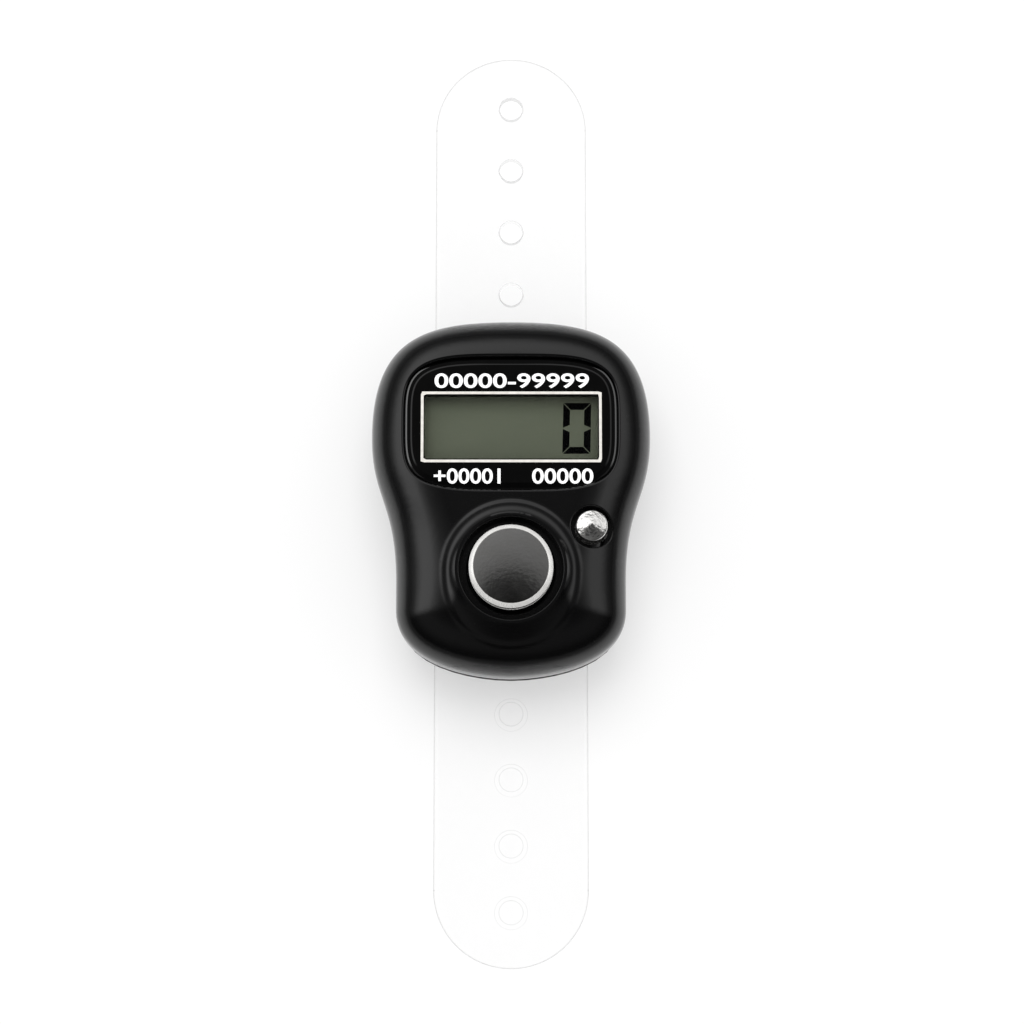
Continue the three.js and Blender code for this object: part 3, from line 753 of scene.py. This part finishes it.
def shoulder_height(depth, y):
    """A quarter ellipse from the top of the upright wall to the level deck."""
    lean = np.clip(1 - depth / shoulder_width(y), 0, 1)
    return WALL_TOP + (DECK - WALL_TOP) * np.sqrt(1 - lean ** 2)


def deck_height(points):
    """The top face: the shoulder and the level deck, and on them the count button's collar. The collar
    is a rim and a hollow slope down to a foot, which stands a little proud of the deck to the north and
    runs out into the shoulder to the south."""
    points = np.asarray(points, float)
    deck = shoulder_height(depth_of(points), points[:, 1])
    from_count = points - (COUNT_X, COUNT_Y)
    away = np.maximum(np.hypot(from_count[:, 0], from_count[:, 1]), 0.01)
    north = from_count[:, 1] / away
    south = np.clip(-north, 0, 1)
    south = south * south * (3 - 2 * south)
    ring = COLLAR_RING + (COLLAR_RING_SOUTH - COLLAR_RING) * south
    foot = from_count / away[:, None] * ring[:, None] + (COUNT_X, COUNT_Y)
    low = shoulder_height(depth_of(foot), foot[:, 1]) + COLLAR_LIFT * np.clip(north, 0, 1)
    climb = (ring - away) / (ring - COLLAR_START)
    slope = np.minimum((climb + np.sqrt(climb ** 2 + COLLAR_BEND)) / 2, 1)
    collar = low + (COUNT_RIM - low) * slope ** (2 - south)
    t = np.clip((away - ring) / COLLAR_SOFT, 0, 1)
    share = 1 - t * t * (3 - 2 * t)
    return deck * (1 - share) + collar * share


def ceiling_height(points):
    near = np.clip((WALL + INNER_SHOULDER - depth_of(points)) / INNER_SHOULDER, 0, 1)
    return CEILING_START + (CEILING - CEILING_START) * np.sqrt(1 - near ** 2)


def inset_case(depth, count=240):
    loop = case_outline(count)
    return loop + inward(loop) * depth


def grid_points(spacing):
    xs = np.arange(-CHEST_X, CHEST_X, spacing)
    rows = []
    for row, y in enumerate(np.arange(SOUTH, NORTH, spacing * 0.866)):
        rows.append(np.column_stack([xs + spacing / 2 * (row % 2), np.full(len(xs), y)]))
    return np.vstack(rows)


def shoulder_rings():
    """Points along the shoulder, closer together where it is steep."""
    rings = []
    for depth in (0.3, 0.36, 0.44, 0.54, 0.66, 0.8, 0.97, 1.17, 1.42, 1.75, 2.15, 2.6):
        ring = inset_case(depth)
        rings.append(ring[np.abs(depth_of(ring) - depth) < 0.2 + 0.1 * depth])
    return rings


def fillet_down(skin, loop, radius, height, floor, steps=6):
    """From a loop on the deck, rounds the edge of a hole and goes straight down to the floor height.
    Loop runs anticlockwise round the hole, and height gives the deck. Returns the rings, deck first."""
    out = -inward(loop)
    rings = []
    for step in range(steps + 1):
        turn = math.pi / 2 * step / steps
        spot = loop + out * radius * (1 - math.sin(turn))
        start = height(loop + out * radius)
        rings.append(skin.ring(spot, start - radius * (1 - math.cos(turn))))
    rings.append(skin.ring(loop, floor))
    return rings


def cover_sides(skin):
    """The upright wall from its rounded lower lip to just inside the shoulder's steep edge."""
    rings = []
    for angle in (0, 45, 90):
        turn = math.radians(angle)
        ring = inset_case(DRAFT + COVER_LIP * (1 - math.sin(turn)))
        rings.append(skin.ring(ring, COVER_LOW + COVER_LIP * (1 - math.cos(turn))))
    for z in np.linspace(COVER_LOW + 0.8, WALL_TOP, 7):
        rings.append(skin.ring(inset_case(DRAFT * ((WALL_TOP - z) / (WALL_TOP - COVER_LOW)) ** 2), z))
    for share in np.linspace(0, 1, 9)[1:]:
        depth = LOFTED_DEPTH * share ** 2
        ring = inset_case(depth)
        rings.append(skin.ring(ring, shoulder_height(depth, ring[:, 1])))
    skin.strips(rings)
    skin.lift(rings[-1], deck_height)
    return rings


def cover_deck(skin, rim, holes):
    """The top face, with points close together where it curves most."""
    loops = [skin.plan(ring) for ring in (rim, *holes)]
    beside_lens = [lens_loop(LENS_GAP + grow, 150) for grow in (0.45, 0.75)]
    around_reset = [circle(RESET_X, RESET_Y, radius, 48) for radius in (2.3, 2.65)]
    around_count = [circle(COUNT_X, COUNT_Y, radius, 144) for radius in
                    (5.47, *np.arange(5.6, 8.1, 0.13), *np.arange(8.2, 9.0, 0.25))]
    groups = [np.vstack(loops), *beside_lens, *around_reset, *around_count]
    groups += [*shoulder_rings(), grid_points(0.5)]
    free = thinned(groups, 0.12)
    free = free[between(free, loops[0], loops[1:])]
    free = free[depth_of(free) > LOFTED_DEPTH + 0.05]
    skin.region(rim, holes, free, deck_height)


def cover_inside(skin, lip, recess, count_hole, reset_hole):
    """The inner wall and ceiling, the ledge that holds the lens, and the button guides."""
    inner_low = skin.ring(inset_case(WALL), COVER_LOW)
    inner = [skin.ring(inset_case(WALL), CEILING_START)]
    for angle in (15, 25):
        turn = math.radians(angle)
        inner.append(skin.ring(inset_case(WALL + INNER_SHOULDER * (1 - math.cos(turn))),
                               CEILING_START + (CEILING - CEILING_START) * math.sin(turn)))
    skin.strip(inner_low, lip)
    skin.strips([inner_low, *inner][::-1])
    ledge_loop = lens_loop(LENS_GAP + LEDGE_MARGIN, 160)
    guide_loop = circle(COUNT_X, COUNT_Y, GUIDE, 128)
    bore_loop = circle(COUNT_X, COUNT_Y, COUNT_BORE, 128)
    ledge = skin.wall(ledge_loop, ceiling_height(ledge_loop), LEDGE_LOW)
    guide = [skin.ring(guide_loop, ceiling_height(guide_loop)), skin.ring(guide_loop, GUIDE_LOW),
             skin.ring(bore_loop, GUIDE_LOW), skin.ring(bore_loop, COUNT_FLOOR), count_hole]
    skin.strips(guide)
    window = skin.wall(rectangle_loop(WINDOW, 0.5, 0.5), LEDGE_LOW, RECESS_FLOOR)
    skin.region(ledge[1], [window[0]], NO_POINTS, ceiling_height, up=False)
    skin.region(recess, [window[1]], NO_POINTS, ceiling_height)
    skin.lift(reset_hole, ceiling_height)
    holes = [ledge[0], guide[0], reset_hole]
    loops = [skin.plan(ring) for ring in (inner[-1], *holes)]
    free = thinned([np.vstack(loops), grid_points(1.0)], 0.4)
    free = free[between(free, loops[0], loops[1:])]
    skin.region(inner[-1], holes, free, ceiling_height, up=False)


def front_cover():
    skin = Skin()
    sides = cover_sides(skin)
    count_loop = circle(COUNT_X, COUNT_Y, COUNT_SINK, 128)
    reset_loop = circle(RESET_X, RESET_Y, RESET_SINK, 64)
    bore_loop = circle(RESET_X, RESET_Y, RESET_BORE, 64)
    recess = fillet_down(skin, lens_loop(LENS_GAP), RECESS_ROUND, deck_height, RECESS_FLOOR)
    count_hole = fillet_down(skin, count_loop, HOLE_ROUND, deck_height, COUNT_FLOOR)
    reset_hole = fillet_down(skin, reset_loop, HOLE_ROUND, deck_height, RESET_FLOOR)
    reset_hole += [skin.ring(bore_loop, z) for z in (RESET_FLOOR, RESET_FLOOR - 0.1)]
    for rings in (recess, count_hole, reset_hole):
        skin.strips(rings[::-1])
    cover_deck(skin, sides[-1], [recess[0], count_hole[0], reset_hole[0]])
    cover_inside(skin, sides[0], recess[-1], count_hole[-1], reset_hole[-1])
    skin.object("front_shell", LOOK["gloss_black"], body="case", replaces=["front_cover"],
                slot="case_gloss_black")


front_cover()


# ---- display ----

def plate_piece(name, loop, low, top, edge, look, steps=4, **told):
    """A flat plate with rounded upper and lower edges."""
    skin = Skin()
    into = inward(loop)
    turns = np.linspace(0, math.pi / 2, steps + 1)
    profile = [(1 - math.sin(turn), low + edge * (1 - math.cos(turn))) for turn in turns]
    profile += [(1 - math.cos(turn), top - edge * (1 - math.sin(turn))) for turn in turns]
    rings = [skin.ring(loop + into * edge * inset, z) for inset, z in profile]
    skin.strips(rings)
    skin.cap(rings[0], up=False)
    skin.cap(rings[-1])
    return skin.object(name, look, **told)


def frame_piece(name, outer_loop, inner_loop, low, top, look, **told):
    """A thin plate with a hole."""
    skin = Skin()
    outer = skin.wall(outer_loop, low, top)
    inner = [skin.ring(inner_loop, low), skin.ring(inner_loop, top)]
    skin.strips(inner[::-1])
    skin.region(outer[1], [inner[1]], NO_POINTS, deck_height)
    skin.region(outer[0], [inner[0]], NO_POINTS, deck_height, up=False)
    return skin.object(name, look, **told)


def text_piece(name, words, box, z, look):
    """Figures stretched to fill a box (x0, x1, y0, y1), as a thin layer of ink."""
    curve = bpy.data.curves.new(name, "FONT")
    curve.body = words
    curve.offset = FIGURE_WEIGHT
    curve.resolution_u = 6
    curve.extrude = 0.01
    made = bpy.data.objects.new(name + "_curve", curve)
    bpy.context.scene.collection.objects.link(made)
    bpy.context.view_layer.update()
    graph = bpy.context.evaluated_depsgraph_get()
    shaped = bpy.data.meshes.new_from_object(made.evaluated_get(graph))
    bpy.data.objects.remove(made)
    points = np.array([v.co for v in shaped.vertices])
    low, high = points.min(axis=0), points.max(axis=0)
    x0, x1, y0, y1 = box
    scaled = np.column_stack([
        x0 + (points[:, 0] - low[0]) / (high[0] - low[0]) * (x1 - x0),
        y0 + (points[:, 1] - low[1]) / (high[1] - low[1]) * (y1 - y0),
        z + (points[:, 2] - low[2]) / (high[2] - low[2]) * FIGURE_DEPTH,
    ])
    shaped.vertices.foreach_set("co", (scaled * MM).astype(np.float32).ravel())
    shaped.materials.clear()
    shaped.materials.append(look)
    piece = bpy.data.objects.new(name, shaped)
    bpy.context.scene.collection.objects.link(piece)
    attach(piece, "case")


def prism(name, corners, low, top, look, **told):
    skin = Skin()
    rings = skin.wall(corners, low, top)
    skin.cap(rings[0], up=False)
    skin.cap(rings[1])
    return skin.object(name, look, **told)


def digit_zero():
    """The lit segments of a seven-segment nought, mitred where they meet, with a slight slant."""
    left, right, low, high = DIGIT
    middle = (low + high) / 2
    wide, gap = SEGMENT, SEGMENT_GAP

    def slanted(points):
        return [(x + (y - middle) * SEGMENT_SLANT, y) for x, y in points]

    flat_low = [(left + gap, low), (right - gap, low),
                (right - wide - gap, low + wide), (left + wide + gap, low + wide)]
    side_low = [(left, low + gap), (left + wide, low + wide + gap),
                (left + wide, middle - wide * 0.55), (left, middle - gap)]
    for name, points, flip_x, flip_y in (
            ("bottom", flat_low, False, False), ("bottom_top", flat_low, False, True),
            ("lower_left", side_low, False, False), ("lower_left_top", side_low, False, True),
            ("lower_left_right", side_low, True, False), ("lower_left_right_top", side_low, True, True)):
        shape = [(left + right - x if flip_x else x, low + high - y if flip_y else y) for x, y in points]
        if flip_x != flip_y:
            shape.reverse()
        prism("segment_" + name, slanted(shape), GLASS_TOP + 0.01, GLASS_TOP + 0.03, LOOK["segment"],
              body="case", slot="lcd_glass")


def lens_plate():
    """The lens, printed black behind all but its window: a fine bright rim, a low bevel and a level
    middle."""
    drop = LENS_RIM * math.tan(LENS_SLOPE)
    shelf = LENS_TOP - drop
    edge = Skin()
    profile = [(0.0, LENS_LOW), (0.0, shelf - drop), (LENS_RIM, shelf), (LENS_RIM, LENS_LOW)]
    rings = [edge.ring(lens_loop(-inset), z) for inset, z in profile]
    edge.strips(rings + rings[:1])
    edge.object("lens_rim", LOOK["edge"], body="case", slot="lens_clear", sharp=12)
    skin = Skin()
    inside_rim = LENS_RIM + 0.005
    profile = [(inside_rim, LENS_LOW), (inside_rim, shelf), (LENS_BEVEL, shelf + 0.01),
               (LENS_BEVEL + LENS_RIM, LENS_TOP)]
    rings = [skin.ring(lens_loop(-inset), z) for inset, z in profile]
    skin.strips(rings)
    window = skin.wall(rectangle_loop(CLEAR, 0.12, 0.4), LENS_TOP, LENS_LOW)
    skin.region(rings[-1], [window[0]], NO_POINTS, deck_height)
    skin.region(rings[0], [window[1]], NO_POINTS, deck_height, up=False)
    skin.object("lens_plate", LOOK["ink"], body="case", replaces=["display_lens", "lens_tape"],
                slot="lens_clear", sharp=12)


def display():
    lens_plate()
    plate_piece("lens_pane", rectangle_loop(CLEAR, 0.12, 0.4), LENS_LOW + 0.02, LENS_TOP - 0.02, 0.03,
                LOOK["lens"], body="case", slot="lens_clear")
    print_low, print_top = LENS_TOP - 0.01, LENS_TOP + 0.015
    frame_piece("window_border", rectangle_loop(BORDER_OUTSIDE, 0.12, 0.4),
                rectangle_loop(BORDER_INSIDE, 0.1, 0.4), print_low, print_top, LOOK["border"],
                body="case", slot="lens_clear")
    text_piece("range_figures", "00000-99999", RANGE_BOX, print_low, LOOK["label"])
    text_piece("count_figures", "+00001", STEP_BOX, print_low, LOOK["label"])
    text_piece("reset_figures", "00000", NOUGHTS_BOX, print_low, LOOK["label"])
    plate_piece("lcd_glass", rectangle_loop(GLASS, 0.15, 0.5), GLASS_LOW, GLASS_TOP, 0.06, LOOK["lcd"],
                body="case", replaces=["lcd_panel"], slot="lcd_glass")
    digit_zero()


display()


# ---- buttons ----

def count_button():
    """A plated cap with a crowned, finely grained face, framed by a chamfered rim with a thin bead below
    it, whose half-matte white finish is a painted glint in place of the plating's reflection, on a black
    body with the flange that keeps it in the case."""
    face, soft, cap_low = COUNT_FACE, COUNT_SOFT, COUNT_CAP_LOW
    face_edge = COUNT_TOP - COUNT_CROWN
    low = face_edge - (COUNT_CAP - face) * math.tan(COUNT_CHAMFER)
    sleeve = COUNT_CAP - 0.06
    flange, flange_top = COUNT_FLANGE
    body = [(0, COUNT_LOW), (flange, COUNT_LOW), (flange, flange_top), (sleeve, flange_top),
            (sleeve, cap_low - 0.01), (0, cap_low - 0.01)]
    revolved("count_key_body", body, COUNT_X, COUNT_Y, LOOK["satin_black"], body="count_key",
             slot="case_gloss_black", sharp=25)
    cap = [(0, cap_low), (sleeve, cap_low), (sleeve, low - 0.2), (face, low - 0.2),
           (face, face_edge - 0.02)]
    for share in np.linspace(1, 0, 20):
        cap.append(((face - 0.02) * share, COUNT_TOP - COUNT_CROWN * share ** 2))
    revolved("count_cap", cap, COUNT_X, COUNT_Y, LOOK["chrome"], body="count_key",
             replaces=["count_button"], slot="button_chrome", sharp=25)
    rim = [(face + 0.01, low - 0.19), (COUNT_CAP - 0.02, low - 0.19), (COUNT_CAP, low - 0.17),
           (COUNT_CAP, low - soft), (COUNT_CAP - 0.02, low - 0.02),
           (COUNT_CAP - soft, low + soft * 0.6), (face + soft, face_edge - soft * 0.3),
           (face + 0.04, face_edge), (face + 0.01, face_edge - 0.02)]
    turned_ring("count_rim", rim, COUNT_X, COUNT_Y, LOOK["rim"], body="count_key",
                slot="button_chrome", sharp=40)
    bead_low, bead_top, bead = COUNT_BEAD
    half = (bead_top - bead_low) / 2
    rolled = [(sleeve + 0.01, bead_low)]
    for turn in np.linspace(-math.pi / 2, math.pi / 2, 7):
        rolled.append((sleeve + 0.03 + bead * math.cos(turn), bead_low + half + half * math.sin(turn)))
    rolled.append((sleeve + 0.01, bead_top))
    turned_ring("count_bead", rolled, COUNT_X, COUNT_Y, LOOK["rim"], body="count_key",
                slot="button_chrome")


def reset_button():
    """A small plated cap: a cone with a rounded tip and edge, on a sleeve with a flange."""
    slope, edge, tip = RESET_SLOPE, RESET_EDGE, RESET_TIP
    flat = RESET_CAP - edge * (1 - math.sin(slope))
    drop = (flat - tip * math.sin(slope)) * math.tan(slope) + tip * (1 - math.cos(slope))
    middle = RESET_TOP - drop - edge * math.cos(slope)
    flange, flange_top = RESET_FLANGE
    profile = [(0, RESET_LOW), (flange, RESET_LOW), (flange, flange_top), (RESET_CAP, flange_top),
               (RESET_CAP, RESET_CAP_LOW)]
    for angle in np.linspace(math.pi / 2, slope, 9):
        profile.append((RESET_CAP - edge * (1 - math.sin(angle)), middle + edge * math.cos(angle)))
    for angle in np.linspace(slope, 0, 8):
        profile.append((tip * math.sin(angle), RESET_TOP - tip * (1 - math.cos(angle))))
    revolved("reset_cap", profile, RESET_X, RESET_Y, LOOK["reset"], segments=72, body="reset_key",
             replaces=["reset_button"], slot="button_chrome")


def rubber_dome(node, x, y, foot, crown, top):
    """A silicone dome between the board and a button, open below."""
    low, wall, roof, skirt = DOME_LOW, 0.42, 0.5, 0.3
    slant = [(foot - (foot - crown) * t ** 1.5, low + skirt + (top - roof - low - skirt) * t)
             for t in np.linspace(0, 1, 6)]
    profile = [(0, top - roof)]
    profile += [(radius - wall, z) for radius, z in reversed(slant)]
    profile += [(foot - wall, low), (foot, low), *slant, (crown, top - 0.12), (crown - 0.12, top), (0, top)]
    piece = revolved(node + "_skin", profile, x, y, LOOK["silicone"], segments=72, body="case",
                     replaces=[node], slot="dome_silicone")
    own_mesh(piece)


count_button()
reset_button()
rubber_dome("count_rubber_dome", COUNT_X, COUNT_Y,
            foot=3.4, crown=2.3, top=9.86)
rubber_dome("reset_rubber_dome", RESET_X, RESET_Y,
            foot=2.0, crown=1.5, top=9.76)


# ---- strap ----

def edge_profile(radius, steps):
    """(outward, height) points down a strap edge that is rounded above and below. Outward runs from 0
    on the faces to radius at the side."""
    turns = [math.radians(angle) for angle in np.linspace(0, 90, steps)]
    above = [(radius * math.sin(turn), STRAP_TOP - radius * (1 - math.cos(turn))) for turn in turns]
    below = [(radius * math.sin(turn), STRAP_LOW + radius * (1 - math.cos(turn))) for turn in turns]
    return above + below[::-1]


def hole_rings(skin, y):
    """A through hole with softened edges. Returns its ring in the top face and in the bottom face."""
    rings = []
    for outward, z in edge_profile(HOLE_EDGE, 4):
        rings.append(skin.ring(circle(0, y, HOLE_RADIUS + HOLE_EDGE - outward, 48), z))
    skin.strips(rings[::-1])
    return rings[0], rings[-1]


def stud_rings(skin, y):
    """A stud on the top face: a low boss and a round-headed peg, as (radius, height above the strap)
    points. Returns its foot."""
    boss = [(1.78, 0), (1.69, 0.03), (1.66, 0.12), (1.60, 0.19), (1.50, 0.2), (1.30, 0.21)]
    neck = [(1.18, 0.26), (1.14, 0.4), (1.14, 0.6)]
    head = [(1.22, 0.72), (1.24, 0.8), (1.20, 0.92), (1.08, 1.03), (0.9, 1.09), (0.5, 1.1)]
    rings = [skin.ring(circle(0, y, radius, 48), STRAP_TOP + z) for radius, z in boss + neck + head]
    skin.strips(rings)
    skin.cap(rings[-1])
    return rings[0]


def strap_paths(start, end):
    """The strap's sides, set in by the edge radius, each with its outward normals. They are two straight
    paths, or with end None a single one that also runs round the tip."""
    stop = STRAP_END - STRAP_HALF if end is None else end
    ys = np.linspace(start, stop, round((stop - start) / STRAP_STEP) + 1)
    if end is None:
        ys = ys[:-1]
    right = np.column_stack([np.full(len(ys), STRAP_REACH), ys])
    outward = np.tile((1.0, 0.0), (len(ys), 1))
    left, other_way = right[::-1] * (-1, 1), outward * (-1, 1)
    if end is not None:
        return [(right, outward), (left, other_way)]
    arc = np.linspace(0, math.pi, 64)
    turned = np.column_stack([np.cos(arc), np.sin(arc)])
    tip = turned * STRAP_REACH + (0, stop)
    return [(np.vstack([right, tip, left]), np.vstack([outward, turned, other_way]))]


def strap_piece(name, side, start, end, feature, blend=None, body=None, replaces=()):
    """One length of the strap between two cuts; end None rounds off the tip. Side is 1 or -1 along Y,
    and feature is the kind and the place of its hole or stud."""
    skin = Skin()
    both = np.array((side, side))
    tops, bottoms = [], []
    for path, out in strap_paths(start, end):
        rings = [skin.ring((path + out * outward) * both, z) for outward, z in edge_profile(STRAP_EDGE, 7)]
        skin.strips(rings[::-1], closed=False)
        tops.append(rings[0])
        bottoms.append(rings[-1])
    across = np.linspace(-STRAP_REACH, STRAP_REACH, 24)[1:-1]
    cut = {}
    for z in (STRAP_TOP, STRAP_LOW):
        for y in (start, end):
            if y is not None:
                cut[z, y] = skin.ring(np.column_stack([across, np.full(len(across), y)]) * both, z)
    open_top, open_low = [], []
    if feature and feature[0] == "hole":
        hole_top, hole_low = hole_rings(skin, side * feature[1])
        open_top, open_low = [hole_top], [hole_low]
    elif feature:
        open_top = [stud_rings(skin, side * feature[1])]
    stop = STRAP_END if end is None else end
    ys = np.linspace(start, stop, round((stop - start) / STRAP_STEP) + 1)[1:-1]
    grid = np.array([(x, y) for y in ys for x in across]) * both
    for z, edges, holes, up in ((STRAP_TOP, tops, open_top, True), (STRAP_LOW, bottoms, open_low, False)):
        loop = list(edges[0])
        if end is not None:
            loop += cut[z, end][::-1] + list(edges[1])
        loop += cut[z, start]
        known = [skin.plan(ring) for ring in (loop, *holes)]
        free = thinned([np.vstack(known), grid], 0.3)
        free = free[between(free, known[0], known[1:])]
        skin.region(loop, holes, free, lambda points, level=z: np.full(len(points), level), up)
    piece = skin.object(name, LOOK["strap"], body=body, replaces=replaces, slot="strap_clear", sharp=50)
    if blend:
        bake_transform(piece)


def strap_half(kind, side):
    """Five lengths, each cut just past one bend place, and the tip."""
    start = 0.0
    for number in range(1, LINKS + 1):
        joint_y = FIRST_BEND + PITCH * (number - 1)
        end = joint_y + CUT_AFTER
        a = "case" if number == 1 else f"{kind}_strap_{number - 1}"
        b = f"{kind}_strap_{number}"
        feature = (kind, joint_y - PITCH / 2) if number > 2 else None
        replaces = [f"strap_{kind}_link_{number}"]
        if number == 1 and kind == "hole":
            replaces.append("strap_middle")
        strap_piece(f"strap_{kind}_{number}", side, start, end, feature, blend=(a, b, joint_y),
                    replaces=replaces)
        start = end
    strap_piece(f"strap_{kind}_tip", side, start, None, (kind, FIRST_HOLE + 3 * PITCH),
                body=f"{kind}_strap_{LINKS}")


strap_half("hole", 1)
strap_half("stud", -1)


# ---- carried-over CAD nodes ----

def carry(look, *nodes, bevel=0.06, sharp=30):
    """Gives CAD nodes a finish, softened edges and smooth round faces."""
    for name in nodes:
        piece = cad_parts[name]
        piece.data.materials.clear()
        piece.data.materials.append(look)
        piece.data.polygons.foreach_set("use_smooth", [True] * len(piece.data.polygons))
        if bevel:
            weld = piece.modifiers.new("weld", "WELD")
            weld.merge_threshold = 1e-6
            soften = piece.modifiers.new("soften", "BEVEL")
            soften.width = bevel * MM
            soften.segments = 2
            soften.limit_method = "ANGLE"
            soften.angle_limit = math.radians(sharp)
            soften.harden_normals = True


def inner_looks():
    steel = plain("spring_steel", (0.55, 0.55, 0.57), (0.66, 0.66, 0.68), 0.28, 2.0, 1.0)
    cell = plain("cell_steel", (0.62, 0.62, 0.64), (0.72, 0.72, 0.74), 0.22, 1.0, 1.0)
    screw = plain("screw_zinc", (0.42, 0.42, 0.44), (0.55, 0.55, 0.57), 0.33, 3.0, 1.0)
    board = plain("board_green", (0.02, 0.11, 0.045), (0.03, 0.15, 0.06), 0.4, 0.8)
    epoxy = plain("epoxy_black", (0.008, 0.008, 0.008), (0.014, 0.014, 0.014), 0.3, 1.0)
    carry(LOOK["satin_black"], "back_cover", "battery_door", bevel=0.1)
    carry(screw, *[f"case_screw_{n}" for n in (1, 2, 3, 4)], "board_screw_1", "board_screw_2", bevel=0.05)
    carry(cell, "button_cell")
    carry(steel, "cell_positive_contact", "cell_negative_contact", bevel=0.03)
    carry(board, "circuit_board", bevel=0.04)
    carry(epoxy, "chip_blob", "timing_resistor", bevel=0.04)
    carry(plain("ceramic_tan", (0.36, 0.22, 0.11), (0.48, 0.30, 0.16), 0.5, 4.0), "timing_capacitor")
    carry(plain("zebra_rubber", (0.55, 0.51, 0.44), (0.66, 0.62, 0.55), 0.7, 6.0), "zebra_strip")
    carry(plain("foam_grey", (0.13, 0.14, 0.15), (0.22, 0.23, 0.24), 0.9, 6.0), "lcd_support_foam")
    carry(plain("lcd_film", (0.42, 0.44, 0.40), (0.52, 0.54, 0.50), 0.4, 5.0), "lcd_reflector", bevel=0)
    carbon = plain("carbon_black", (0.008, 0.008, 0.009), (0.02, 0.02, 0.02), 0.8, 5.0)
    carry(carbon, "count_contact_pill", "reset_contact_pill", bevel=0.05)


inner_looks()
